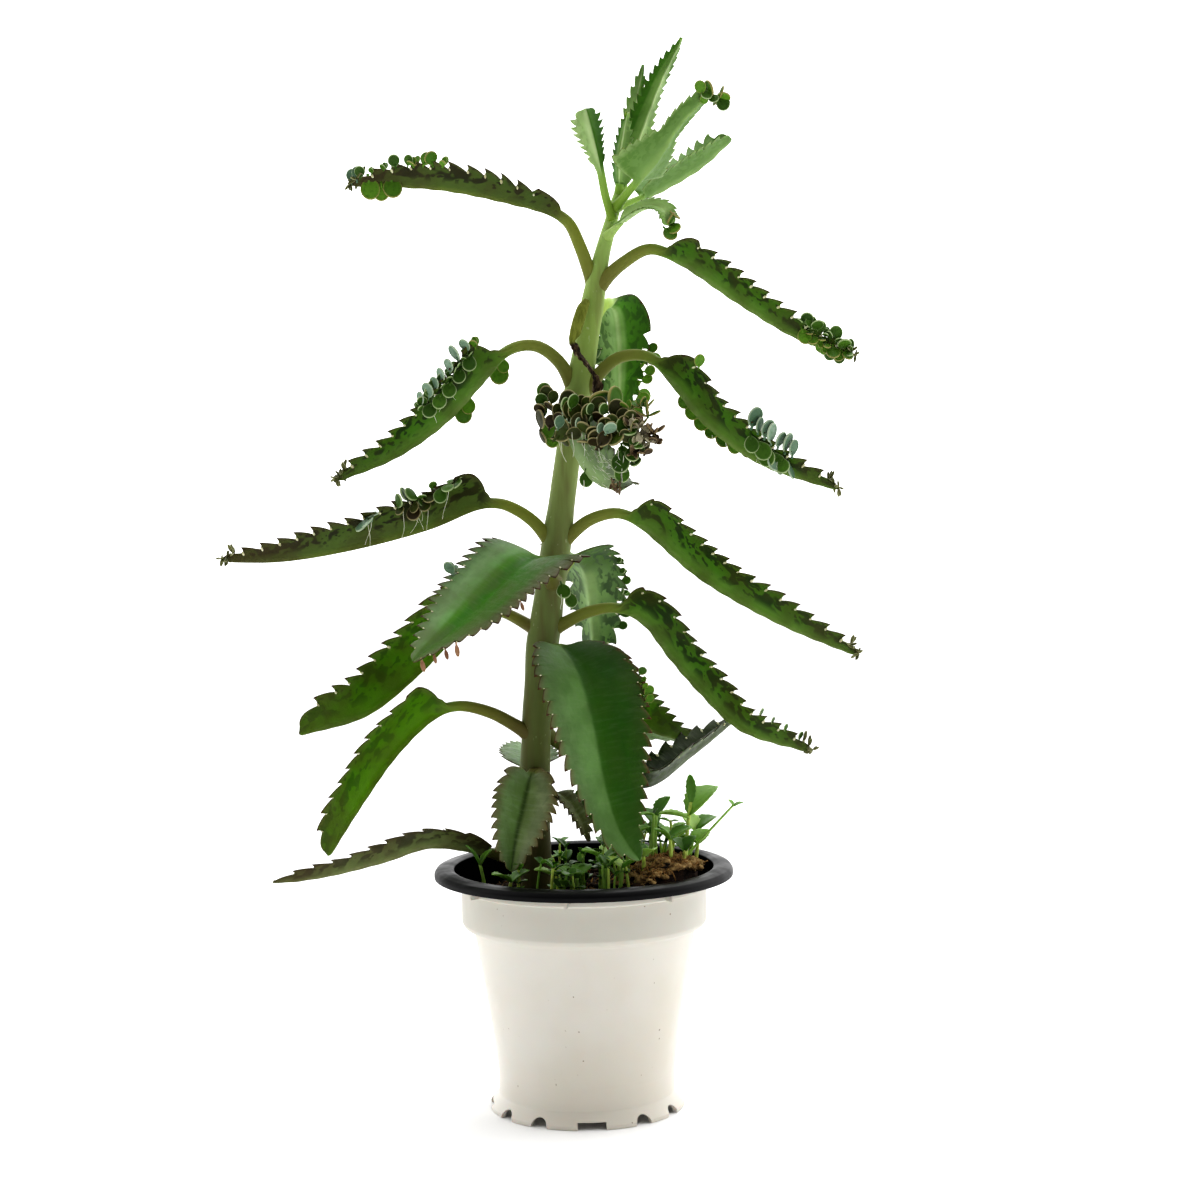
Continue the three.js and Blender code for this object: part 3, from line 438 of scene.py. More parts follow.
def leafMaterial(name, look):
    material, tree, shader = newMaterial("leaf_" + name, 0.5, 0.14)
    place = attribute(tree, "leafPlace", "Vector")
    side, along, upper = parts(tree, attribute(tree, "leafMarks", "Vector"))
    fromRib = maths(tree, "ABSOLUTE", side)
    signed = maths(tree, "MULTIPLY_ADD", side, 0.5)
    signed.node.inputs[2].default_value = 0.5
    wide = noisePattern(tree, place, 0.11, 3)
    fine = noisePattern(tree, place, 0.9, 3, roughness=0.65)
    upperColour = ramp(tree, signed, look.get("both") or look["upper"])
    if "lower" in look:
        lowerColour = ramp(tree, fromRib, look["lower"])
    else:
        lowerColour = ramp(tree, signed, look.get("both") or look["lowerBoth"])
    if "baseTone" in look:
        nearBase = remap(tree, along, 0.2, 0.4, 0.85, 0)
        lowerColour = mixColour(tree, nearBase, lowerColour, tone(look["baseTone"]))
    # Long dark blotches and spots in the outer part of each half, stronger underneath
    size = look.get("blotchSize", spotForm["size"])
    large = remap(tree, blotchPattern(tree, place, size), *spotForm["edge"])
    small = remap(tree, blotchPattern(tree, place, spotForm["smallSize"]), *spotForm["smallEdge"])
    band = maths(tree, "MULTIPLY", remap(tree, fromRib, 0.12, 0.4), remap(tree, fromRib, 0.97, 0.85))
    marks = maths(tree, "MULTIPLY", maths(tree, "MAXIMUM", large, small), band)
    under = maths(tree, "MULTIPLY", marks, look["blotches"])
    lowerColour = mixColour(tree, under, lowerColour, tone(look["blotch"]))
    above = maths(tree, "MULTIPLY", marks, look["blotches"] * 0.35)
    upperColour = mixColour(tree, above, upperColour, tone(look["blotch"]))
    # Pale streaks across the upper side
    streaks = noisePattern(tree, place, 0.9, 3, (1, 0.14, 1), 0.6)
    pale = maths(tree, "MULTIPLY", remap(tree, streaks, 0.45, 0.7), look.get("streaks", 0.15))
    upperColour = mixColour(tree, pale, upperColour, tone("#a4b4a0"))
    colour = mixColour(tree, upper, lowerColour, upperColour)
    # Uneven tone, over the whole blade and in fine flecks
    shade = maths(tree, "MULTIPLY", remap(tree, wide, 0.35, 0.7), 0.45)
    colour = mixColour(tree, shade, colour, tone(look["tip"]))
    flecks = maths(tree, "MULTIPLY", remap(tree, fine, 0.55, 0.8), 0.3)
    colour = mixColour(tree, flecks, colour, tone("#c8d8ae"), "SOFT_LIGHT")
    # Browner towards the tip, the margin and the points of the teeth
    ageing = maths(tree, "MULTIPLY", remap(tree, along, 0.55, 1.0), look["tipShare"])
    colour = mixColour(tree, ageing, colour, tone(look["tip"]))
    teeth = remap(tree, attribute(tree, "leafTooth"), 0.25, 0.75)
    edge = maths(tree, "MAXIMUM", teeth, remap(tree, fromRib, 0.965, 0.995, 0, 0.75))
    colour = mixColour(tree, edge, colour, tone(look["tooth"]))
    fromStem = maths(tree, "ADD", along, 1.0)
    stalk = ramp(tree, fromStem, look["petiole"])
    colour = mixColour(tree, remap(tree, along, -0.25, 0.06, 1, 0), colour, stalk)
    colour = mixColour(tree, 1.0, colour, (1, 1, 0.8, 1), "MULTIPLY")
    tree.links.new(colour, shader.inputs["Base Color"])
    rough = remap(tree, fine, 0.3, 0.75, 0.42, 0.62)
    tree.links.new(rough, shader.inputs["Roughness"])
    bump(tree, shader, fine, 0.35, 0.25)
    fleshy(shader, 0.15, 0.8)
    return material


leafMaterials = {name: leafMaterial(name, look) for name, look in leafLooks.items()}
print("leaf materials made")

# The leaves. Each row repeats the place and the form of its node in the part: the spine along
# the rib, half the blade's width, the fold and roll in degrees, and the teeth. bladeFrom is the
# share of the spine that is stalk, lobes the share of the blade over which it opens, fullness how
# blunt its end is, neck its least width towards the tip, closes where the full width ends, sweep
# how far its base reaches back, and smooth how many teeth near the base are left out. far is the
# side that lies behind.
leafForm = {
    "petioleRadius": 2.2,
    "ribThickness": 2.3,
    "bladeThickness": 1.5,
    "toothDepth": 2.7,
    "deeper": 1.6,          # the notches between the fine teeth, against those of the part
    "farShare": 0.85,       # the width of the half that lies behind, against the near half
    "farRoll": 11,          # and how much lower it lies, in degrees
    "toothLean": 0.34,      # how far a tooth's point leans forward, in teeth
    "toothPeak": 0.82,
    "crowding": 1.18,       # how much closer the teeth stand near the base of the blade
    "toothRows": [0, 0.1, 0.22, 0.36, 0.5, 0.63, 0.74, 0.82, 0.88, 0.94],
    "petioleRows": 18,
    "halfColumns": 20,
    "waviness": 0.5,
    "relief": 0.12,
}

leafDefaults = {
    "slot": "leaf_green", "far": 0, "roll": 0, "toothSize": 1, "lobes": 0.06, "neck": 0, "closes": 1,
    "fullness": 2.2, "sweep": 2.5, "smooth": 1, "petiole": leafForm["petioleRadius"], "stout": 1,
    "heading": None, "seed": 7,
}

leaves = [
    {"name": "soil_left", "look": "elder", "slot": "leaf_old", "far": -1, "width": 9.5, "fold": 62,
     "teeth": 12, "toothSize": 0.6, "bladeFrom": 0.16, "lobes": 0.3,
     "spine": [[-21, 0, 84], [-33, -1, 88], [-52, -3, 91], [-68, -5, 86.5], [-87, -6, 82],
               [-105.5, -7, 79.5]]},
    {"name": "a_front", "look": "frontGrey", "width": 13, "fold": 34, "roll": -14, "teeth": 12,
     "toothSize": 0.55, "bladeFrom": 0.24, "lobes": 0.3, "heading": 262,
     "spine": [[-15.5, -3, 115], [-17.5, -13, 114.5], [-20, -19, 105], [-22.5, -22, 95],
               [-24, -22.5, 85]]},
    {"name": "a_back", "look": "backPale", "width": 12, "fold": 30, "teeth": 10, "toothSize": 0.6,
     "bladeFrom": 0.3, "lobes": 0.2, "heading": 97,
     "spine": [[-15.5, 3, 112], [-17.5, 15, 113], [-20, 34, 116], [-22.5, 52, 118]]},
    {"name": "a_side", "look": "elder", "slot": "leaf_old", "width": 6, "fold": 30, "teeth": 9,
     "toothSize": 0.6, "bladeFrom": 0.3, "lobes": 0.2, "heading": 305,
     "spine": [[-14, -3, 105], [-8, -9, 108], [-2, -14, 103], [2, -16, 93.5]]},
    {"name": "b_left", "look": "bright", "far": -1, "width": 16.5, "fold": 62, "teeth": 12,
     "toothSize": 0.7, "bladeFrom": 0.37, "neck": 0.4, "fullness": 5,
     "spine": [[-17, -1, 128], [-31, -5, 136.5], [-42.5, -8, 139], [-50.5, -9, 135.5], [-62.5, -12, 124],
               [-74, -14, 108], [-85.5, -16, 90]]},
    {"name": "b_back", "look": "backDark", "width": 14, "fold": 50, "teeth": 12, "bladeFrom": 0.25,
     "sweep": 0,
     "spine": [[-13.5, 3, 129], [2.5, 10, 116], [21.5, 18, 107.5], [38.5, 30, 116.5], [55.5, 42, 128]]},
    {"name": "c_front", "look": "frontHanging", "width": 22, "fold": 22, "roll": -8, "teeth": 19,
     "toothSize": 0.75, "bladeFrom": 0.16, "lobes": 0.26, "fullness": 2, "heading": 290,
     "spine": [[-11, -5, 154.5], [-6.5, -16, 158.5], [0, -28, 150], [4.5, -36, 134], [8, -41, 115],
               [12, -43, 102], [18.5, -42, 91.5]]},
    {"name": "c_back", "look": "bright", "width": 15, "fold": 20, "roll": -30, "teeth": 14,
     "toothSize": 0.7, "bladeFrom": 0.25, "heading": 50,
     "spine": [[-10, 5, 154.5], [0, 18, 149], [12, 28, 134.5], [26, 37, 124], [42, 43, 118.5]]},
    {"name": "d_left", "look": "bright", "far": -1, "width": 19, "fold": 64, "teeth": 12,
     "bladeFrom": 0.2, "neck": 0.45, "fullness": 7,
     "spine": [[-13, -1, 163], [-29, 5, 170], [-40.5, 9, 164.5], [-55.5, 10, 149.5], [-74, 8, 135],
               [-97, 6, 128.5]]},
    {"name": "d_right", "look": "vivid", "far": 1, "width": 15, "fold": 60, "teeth": 15,
     "bladeFrom": 0.28, "fullness": 2.6, "smooth": 0,
     "spine": [[-11, 0, 163], [3.5, -3, 170], [13.5, -5, 171], [22, -6, 166.5], [31, -7, 154.5],
               [41, -8, 142.5], [54, -9, 130], [77.5, -10, 122]]},
    {"name": "e_front", "look": "frontGlaucousSheen", "far": -1, "width": 24.5, "fold": 20, "roll": -23,
     "teeth": 18, "bladeFrom": 0.22, "lobes": 0.09, "fullness": 2.3, "heading": 221,
     "spine": [[-8.7, -4, 180], [-11.5, -15, 187.5], [-17.5, -23, 187], [-27.5, -31, 179],
               [-40, -41, 167.5], [-53, -50, 158]]},
    {"name": "e_back", "look": "backPale", "width": 14, "fold": 30, "teeth": 11, "bladeFrom": 0.25,
     "fullness": 4, "heading": 62,
     "spine": [[-7.5, 5, 182], [-2, 20, 187], [2.5, 34, 181], [4.5, 42, 164], [5, 44, 149]]},
    {"name": "f_left", "look": "dull", "far": -1, "width": 15.5, "fold": 62, "teeth": 16,
     "bladeFrom": 0.27,
     "spine": [[-8, 0, 191], [-14.5, -2, 200], [-21, -3, 204.8], [-27, -5, 207], [-34, -7, 206.2],
               [-49.5, -9, 200], [-76.5, -11, 193], [-99.5, -12, 189.5], [-119, -13, 189.5]]},
    {"name": "f_right", "look": "vivid", "far": 1, "width": 15, "fold": 60, "teeth": 16,
     "bladeFrom": 0.27, "fullness": 2.6, "smooth": 0,
     "spine": [[-7, 0, 192], [4, -3, 201], [14, -5, 203], [21.5, -6, 199], [40.5, -8, 182],
               [67, -10, 166], [93, -11, 154.5]]},
    {"name": "g_front", "look": "cup", "width": 18, "fold": 62, "roll": -40, "teeth": 10,
     "bladeFrom": 0.16, "lobes": 0.3, "fullness": 6, "sweep": 5, "heading": 322, "seed": 13,
     "spine": [[-2, -4, 231], [-2, -15, 230], [1.5, -27, 221], [6.5, -37, 214.5], [14, -47, 211.5]]},
    {"name": "h_left", "look": "vivid", "far": -1, "width": 14.5, "fold": 60, "teeth": 13,
     "bladeFrom": 0.37, "seed": 5,
     "spine": [[0, 0, 243], [-5.5, -3, 254], [-13.5, -5, 259.5], [-22.5, -7, 258], [-30.5, -8, 249.5],
               [-44, -9, 235], [-60.5, -10, 223.5], [-80.5, -10, 215.5]]},
    {"name": "h_right", "look": "vivid", "far": 1, "width": 14.5, "fold": 58, "teeth": 13,
     "bladeFrom": 0.335, "lobes": 0.12, "seed": 6,
     "spine": [[1.5, 0, 243], [14, -3, 255], [25, -5, 255], [33.5, -7, 245.5], [43, -8, 233.5],
               [61.5, -9, 219.5], [87, -10, 210]]},
    {"name": "i_back", "look": "mint", "width": 12, "fold": 32, "roll": -14, "teeth": 10,
     "toothSize": 0.7, "bladeFrom": 0.28, "lobes": 0.3, "sweep": 0, "smooth": 3, "heading": 62,
     "seed": 8,
     "spine": [[5, 3, 267], [10, 12, 274], [13.5, 21, 272.5], [15, 27, 261], [15, 29, 245],
               [14, 29, 232]]},
    {"name": "j_left", "look": "dull", "far": -1, "width": 11.5, "fold": 58, "teeth": 12,
     "bladeFrom": 0.33, "lobes": 0.6, "fullness": 4, "seed": 9,
     "spine": [[7, 2, 278], [2, -3, 292.5], [-2, -4, 300.5], [-8, -5, 304], [-21, -7, 307.5],
               [-41, -9, 311.5], [-57, -10, 312.8], [-73.5, -11, 313]]},
    {"name": "j_right", "look": "vivid", "far": 1, "width": 12, "fold": 58, "teeth": 13,
     "bladeFrom": 0.31, "lobes": 0.12, "seed": 10,
     "spine": [[7.5, 0, 279], [16, -3, 286.5], [25.5, -5, 291], [36, -6, 286.5], [55, -8, 273],
               [75, -9, 260.5], [93, -10, 254]]},
    {"name": "k_right", "look": "youngPale", "width": 5.5, "fold": 25, "roll": 35, "teeth": 12,
     "toothSize": 0.3, "bladeFrom": 0.3, "neck": 0.75, "smooth": 3, "petiole": 1.3, "stout": 0.8,
     "spine": [[11, -1, 295.5], [18, -7, 301.5], [25, -10, 304.5], [30, -12, 303], [31.5, -13, 298]]},
    {"name": "l_left", "look": "youngHalves", "width": 6.8, "fold": 42, "roll": 42, "teeth": 9,
     "toothSize": 0.5, "bladeFrom": 0.5, "lobes": 0.9, "fullness": 12, "sweep": 0, "petiole": 1.3,
     "stout": 0.8, "heading": 240,
     "spine": [[13, -1, 301.5], [10.8, -4, 308.5], [9.2, -6, 317], [7.2, -8, 326], [4.5, -10, 337]]},
    {"name": "l_behind", "look": "young", "width": 11, "fold": 58, "teeth": 11, "toothSize": 0.85,
     "bladeFrom": 0.3, "lobes": 0.3, "fullness": 7, "petiole": 1.3, "stout": 0.8,
     "spine": [[13.8, 1, 305], [22, 9, 309], [29.5, 14, 312.5], [43.5, 18, 320.5], [54.5, 20, 330]]},
    {"name": "l_right", "look": "young", "width": 15, "fold": 26, "roll": 4, "teeth": 14,
     "toothSize": 0.36, "bladeFrom": 0.3, "lobes": 0.1, "neck": 0.3, "closes": 0.56, "fullness": 1.15,
     "sweep": 2, "petiole": 1.4, "stout": 0.8, "heading": 300,
     "spine": [[13.8, -1, 305], [19.5, -8, 311], [27, -13, 319], [35.5, -16, 331], [46, -17, 341]]},
]

# The youngest leaves, upright and pressed together. They share the node growing_tip.
tipLeaves = [
    {"look": "tip", "width": 6.6, "fold": 40, "teeth": 20, "toothSize": 0.4, "bladeFrom": 0.12,
     "lobes": 0.3, "fullness": 2.6, "petiole": 1.4, "stout": 0.8, "heading": 298,
     "spine": [[15.6, 0, 310], [19, 4, 320], [24.5, 7, 335], [31, 8, 350.5], [37.5, 8, 362.5]]},
    {"look": "tip", "width": 6, "fold": 40, "teeth": 12, "toothSize": 0.4, "bladeFrom": 0.15,
     "lobes": 0.3, "petiole": 1.2, "stout": 0.8, "heading": 60,
     "spine": [[15.6, 1, 310], [19.5, 9, 325.5], [22, 14, 341], [24.5, 16, 355]]},
    {"look": "tip", "width": 5, "fold": 40, "teeth": 10, "toothSize": 0.4, "bladeFrom": 0.15,
     "lobes": 0.3, "petiole": 1.2, "stout": 0.8, "heading": 250,
     "spine": [[15.4, 0, 310], [16, -5, 322], [18.5, -8, 336]]},
]


def spineLine(points, perSpan=40):
    # The smooth line through the points, with the share of its length that each place has
    knots = np.array(points, float)
    knots = np.vstack([2 * knots[0] - knots[1], knots, 2 * knots[-1] - knots[-2]])
    spans = []
    for a, b, c, d in zip(knots, knots[1:], knots[2:], knots[3:]):
        before, within, after = [np.linalg.norm(q - p) ** 0.5 for p, q in ((a, b), (b, c), (c, d))]
        leaving = ((b - a) / before - (c - a) / (before + within) + (c - b) / within) * within
        arriving = ((c - b) / within - (d - b) / (within + after) + (d - c) / after) * within
        u = np.linspace(0, 1, perSpan, endpoint=False)[:, None]
        spans.append(b + leaving * u + (3 * c - 3 * b - 2 * leaving - arriving) * u ** 2
                     + (2 * b - 2 * c + leaving + arriving) * u ** 3)
    line = np.vstack(spans + [knots[-2:-1]])
    reach = np.concatenate([[0], np.cumsum(np.linalg.norm(np.diff(line, axis=0), axis=1))])
    return line, reach / reach[-1], reach[-1]


def prepareLeaf(row):
    leaf = {**leafDefaults, **row}
    leaf["line"], leaf["shares"], leaf["length"] = spineLine(leaf["spine"])
    leaf["tangents"] = unit(np.gradient(leaf["line"], axis=0))
    if leaf["heading"] is None:
        heading = leaf["line"][-1] - leaf["line"][0]
    else:
        turn = math.radians(leaf["heading"])
        heading = np.array([math.cos(turn), math.sin(turn), 0])
    leaf["across"] = unit(np.array([-heading[1], heading[0], 0]))
    return leaf


def leafFrame(leaf, along):
    # Place, direction, sideways and upward at a share of the spine's length
    point = lineAt(leaf["line"], leaf["shares"], along)
    tangent = unit(lineAt(leaf["tangents"], leaf["shares"], along))
    across = leaf["across"] - tangent * (tangent @ leaf["across"])[..., None]
    across = unit(across)
    facing = unit(np.cross(tangent, across))
    roll = math.radians(leaf["roll"] - leafForm["farRoll"] * leaf["far"])
    turn = roll * np.minimum(1, along * 3)[..., None]
    turned = across * np.cos(turn) + facing * np.sin(turn)
    normal = facing * np.cos(turn) - across * np.sin(turn)
    return point, tangent, turned, normal


def bladeShare(leaf, t):
    opened = np.clip(t / leaf["lobes"], 0, 1)
    closing = (1 - np.clip(t / leaf["closes"], 0, 1) ** leaf["fullness"]) ** 0.7
    neck = leaf["neck"] * (1 - np.clip(t, 0, 1) ** 12) ** 0.5
    return (0.3 + 0.7 * (opened * (2 - opened)) ** 0.8) * np.maximum(closing, neck)


def bladePoint(leaf, along, distance, lift):
    # A point of the blade, at a signed distance from the rib, raised from the middle of its flesh
    point, tangent, across, normal = leafFrame(leaf, along)
    side = np.where(distance < 0, -1.0, 1.0)
    reach = np.abs(distance)
    fold = math.radians(leaf["fold"]) * (1 - 0.35 * np.minimum(1, reach / leaf["width"]))
    raised = fold * smooth(reach / 2.0)  # the two halves meet in a round fold over the rib
    out = across * (side * reach * np.cos(fold) - side * lift * np.sin(raised))[..., None]
    return point + out + normal * (reach * np.sin(fold) + lift * np.cos(raised))[..., None]


def halfWidth(leaf, side):
    return leaf["width"] * np.where(side * leaf["far"] > 0, leafForm["farShare"], 1)


def marginPlace(leaf, t, side, inset):
    share = bladeShare(leaf, t)
    sweep = leaf["sweep"] * max(0, 1 - t / 0.22) / leaf["length"]
    along = leaf["bladeFrom"] + max(0, (1 - leaf["bladeFrom"]) * t - sweep)
    return along, side * max(0.8, halfWidth(leaf, side) * share - inset * math.sqrt(share))


def toothInset(leaf, t, depths):
    # How far a margin lies inside its full width: deep in each notch, nothing at each tooth's point
    place = np.clip(t, 0, 0.99999) ** (1 / leafForm["crowding"]) * leaf["teeth"]
    tooth = np.floor(place).astype(int)
    phase = place - tooth
    numbers = np.arange(leaf["teeth"] + 1)
    notch = np.where(numbers > leaf["smooth"], depths * smooth(0.3 + 3 * numbers / leaf["teeth"]), 0)
    peak = leafForm["toothPeak"]
    rising = np.clip(1 - phase / peak, 0, 1) ** 1.35
    falling = np.clip((phase - peak) / (1 - peak), 0, 1)
    inset = np.where(phase < peak, notch[tooth] * rising, notch[tooth + 1] * falling)
    lean = (1 - np.where(phase < peak, rising, falling)) ** 2 * (notch[tooth] > 0)
    return inset, phase, lean


def unevenMargins(leaf, t, side, chance):
    # The teeth of both margins, each cut to its own depth
    saws = []
    for _ in range(2):
        uneven = np.array([chance.uniform(0.8, 1.15) for _ in range(leaf["teeth"] + 1)])
        depth = leafForm["toothDepth"] * leafForm["deeper"] * leaf["toothSize"]
        saws.append(toothInset(leaf, t[:, 0], depth * uneven))
    return [np.where(side < 0, left[:, None], right[:, None]) for left, right in zip(*saws)]


def stalkPoints(leaf, stalk, mmAlong, turnShare, upper):
    # The round stalk, a little hollow along its top and wider at the stem
    along = np.broadcast_to(leaf["bladeFrom"] * stalk, mmAlong.shape)
    centre, tangent, across, normal = leafFrame(leaf, along)
    turn = math.pi * (1 - (turnShare + 1) / 2)
    flare = 1 + 0.3 * np.exp(-(mmAlong / 3) ** 2)
    width = leaf["petiole"] * (1.1 - 0.1 * stalk) * flare
    height = leaf["petiole"] * (1.15 - 0.35 * stalk) * flare
    hollow = 0.22 * height * np.exp(-(np.cos(turn) / 0.4) ** 2) * smooth(stalk * 3) * (upper > 0)
    tube = centre + across * (width * np.cos(turn))[..., None]
    return tube + normal * (height * np.sin(turn) * upper - hollow)[..., None]


def withBase(values):
    # The first row twice: the skin starts from one point inside the stem
    return np.concatenate([values[:1], values])


def leafGrid(leaf, chance):
    petiole = np.linspace(0, 1, leafForm["petioleRows"], endpoint=False)
    counts = np.arange(leaf["teeth"])[:, None] + np.array(leafForm["toothRows"])
    blade = (counts.ravel() / leaf["teeth"]) ** leafForm["crowding"]
    place = np.concatenate([petiole - 1, blade, [1]])
    t = np.maximum(place, 0)[:, None]
    stalk = np.minimum(place + 1, 1)[:, None]
    turnShare, upper = roundSection(leafForm["halfColumns"])
    side = np.sin(turnShare * math.pi / 2)
    fromRib = np.abs(side)
    share = bladeShare(leaf, t)
    full = halfWidth(leaf, side) * share
    inset, phase, lean = unevenMargins(leaf, t, side, chance)
    inset = inset * np.sqrt(share)
    margin = np.maximum(0.8, full - inset)
    reach = fromRib * full - (full - margin) * fromRib ** 4
    reach = np.where(place[:, None] >= 1, 0, reach)
    distance = np.sign(side) * reach

    # From the stem to the blade the stalk opens out
    opened = smooth((stalk - 0.84) / 0.16)
    sweep = leaf["sweep"] * np.maximum(0, 1 - t / 0.22) / leaf["length"] * side ** 2
    along = leaf["bladeFrom"] * stalk + (1 - leaf["bladeFrom"]) * t - sweep * opened
    forward = leafForm["toothLean"] * (lean - 0.35) / leaf["teeth"] * (1 - leaf["bladeFrom"])
    along = along + forward * fromRib ** 6 * smooth(t * 12) * smooth((1 - t) * 12)
    along = np.clip(along, 0, 1)

    # Thickness: a keel under the rib, and a rounded edge
    edge = np.sqrt(np.clip(1 - fromRib ** 8, 0, 1)) * (1 - 0.5 * fromRib ** 2)
    flesh = leafForm["bladeThickness"] * (1 - 0.4 * t) / 2 * leaf["stout"]
    rib = leafForm["ribThickness"] * (1 - 0.5 * t) / 2 * leaf["stout"]
    top = flesh * edge + (0.55 * rib - flesh) * np.exp(-(reach / 1.6) ** 2)
    bottom = flesh * edge + (1.35 * rib - flesh) * np.exp(-(reach / 1.5) ** 2)
    lift = np.where(upper > 0, top, -bottom) * np.minimum(1, full / 3)
    lift = np.where(place[:, None] >= 1, 0, lift)
    lift = np.where(fromRib > 0.9999, 0, lift)
    wave = chance.uniform(0, 6)
    mmAlong = along * leaf["length"]
    wavy = np.sin(mmAlong * 0.21 + wave + side * 1.7) * smooth(t * 8)
    lift = lift + leafForm["waviness"] * fromRib ** 3 * wavy
    quilt = np.sin(mmAlong * 0.9 + 0.8 * np.sin(distance * 0.6)) * np.sin(distance * 0.8 + wave)
    lift = lift + leafForm["relief"] * quilt * upper * smooth(t * 10) * smooth((1 - fromRib) * 5)
    points = stalkPoints(leaf, stalk, mmAlong, turnShare, upper) * (1 - opened)[..., None] \
        + bladePoint(leaf, along, distance, lift) * opened[..., None]
    base = np.repeat(points[:1].mean(axis=1, keepdims=True), points.shape[1], axis=1)

    # What the material reads: where each point lies, on which side, and how near a tooth's point
    size = points.shape[:2]
    nearPoint = np.clip(1 - np.abs(phase - leafForm["toothPeak"]) / 0.3, 0, 1)
    tooth = smooth((fromRib - 0.86) / 0.14) * nearPoint * smooth(t * 30)
    tooth = np.where(place[:, None] >= 1, 1, tooth)
    shownUpper = np.where(fromRib > 0.9999, 0.5, (upper + 1) / 2)
    marks = [np.broadcast_to(values, size) for values in (side, place[:, None], shownUpper)]
    places = [mmAlong + 100 * wave, distance, np.full(size, 31.0 * wave)]
    attributes = {"leafPlace": withBase(np.stack(places, -1)), "leafTooth": withBase(tooth),
                  "leafMarks": withBase(np.stack(marks, -1))}
    return np.concatenate([base, points]), attributes


def makeLeaf(name, leaf):
    chance = random.Random(leaf["seed"] * 101 + int(leaf["length"] * 10))
    points, attributes = leafGrid(leaf, chance)
    return gridPiece(name, metres(points), attributes)


# Plantlets: small fleshy discs on short stalks, in the notches of the margins
plantletForm = {
    "segments": 16,
    "rings": 12,
    "halfWidth": 0.43,
    "rim": 0.05,
    "middle": 0.64,         # how far a plantlet's middle lies from its root, in sizes
    "leanJitter": 0.35,
    "rootRadius": 0.13,
}


def discTemplate(halfWidth):
    # A flattened ball: its poles are the middles of the two faces, its equator is the rim
    bpy.ops.mesh.primitive_uv_sphere_add(segments=plantletForm["segments"], radius=1,
                                         ring_count=plantletForm["rings"])
    disc = bpy.context.object
    points = np.array([vertex.co[:] for vertex in disc.data.vertices])
    radius = np.hypot(points[:, 0], points[:, 1])
    spread = radius ** 0.8 / np.maximum(radius, 1e-6)
    out, sideways = points[:, 0] * spread, points[:, 1] * spread
    radius = np.minimum(1, radius ** 0.8)
    shaped = np.empty_like(points)
    drawn = np.clip(-out, 0, 1) ** 2.2  # the side nearest the leaf is drawn out into the stalk
    shaped[:, 0] = 0.58 + 0.48 * out - 0.06 * drawn
    shaped[:, 1] = halfWidth * sideways * (1 - 0.3 * drawn)
    dish = 0.05 * (1 - radius ** 2) + plantletForm["rim"] * np.exp(-((radius - 0.93) / 0.08) ** 2)
    belly = 0.13 * np.sqrt(np.clip(1 - radius ** 2, 0, 1)) + 0.015
    shaped[:, 2] = np.where(points[:, 2] > 0, dish, -belly) - 0.1 * (shaped[:, 0] - 0.6) ** 2
    disc.data.vertices.foreach_set("co", (shaped * mm).astype(np.float32).ravel())
    addAttribute(disc, "rim", np.clip((radius - 0.88) / 0.09, 0, 1))
    return disc


def stalkTemplate():
    bpy.ops.mesh.primitive_cylinder_add(vertices=6, radius=0.07 * mm, depth=0.42 * mm,
                                        rotation=(0, math.pi / 2, 0), location=(0.12 * mm, 0, 0))
    stalk = bpy.context.object
    bpy.ops.object.transform_apply(location=True, rotation=True, scale=True)
    addAttribute(stalk, "rim", np.zeros(len(stalk.data.vertices)))
    return stalk


def plantletTemplate(name, openings, sizes, halfWidth):
    # Leaves of one plantlet, each opened by an angle from the line of the stalk
    pieces = [stalkTemplate()]
    for opening, size in zip(openings, sizes):
        disc = discTemplate(halfWidth)
        disc.data.transform(Matrix.Rotation(opening, 4, "Y") @ Matrix.Scale(size, 4))
        pieces.append(disc)
    template = joinPieces(pieces, name)
    bpy.ops.object.shade_smooth()
    return template


broad, narrow, spiky = plantletForm["halfWidth"], 0.3, 0.16
templates = {
    "disc": plantletTemplate("disc", [0.0], [1.0], broad),
    "pair": plantletTemplate("pair", [-0.5, 2.4], [0.95, 0.7], broad),
    "sprig": plantletTemplate("sprig", [-0.9, 0.9, 0.1], [0.8, 0.8, 0.6], narrow),
    "club": plantletTemplate("club", [0.0], [1.0], 0.19),
    "star": plantletTemplate("star", [-1.1, 1.1, 0.1, 2.6], [0.8, 0.9, 1.0, 0.6], spiky),
}

plantletLooks = {
    "dark": {"low": "#2a1c0c", "high": "#3c5010", "rim": "#a49a70", "rimShare": 0.75},
    "green": {"low": "#2c4a10", "high": "#4a7020", "rim": "#b4c494", "rimShare": 0.75},
    "blue": {"low": "#4c6a50", "high": "#86a088", "rim": "#c4d0b4", "rimShare": 0.6},
    "lime": {"low": "#355c0e", "high": "#64902a", "rim": "#a49460", "rimShare": 0.7},
    "brown": {"low": "#3a2e20", "high": "#7c6a4e", "rim": "#a8946e", "rimShare": 0.4},
    "rust": {"low": "#7a5640", "high": "#a88264", "rim": "#a88a60", "rimShare": 0.3},
    "olive": {"low": "#3f4420", "high": "#747648", "rim": "#b4b48a", "rimShare": 0.4},
    "straw": {"low": "#5c5844", "high": "#928c72", "rim": "#b4ae92", "rimShare": 0.5},
}


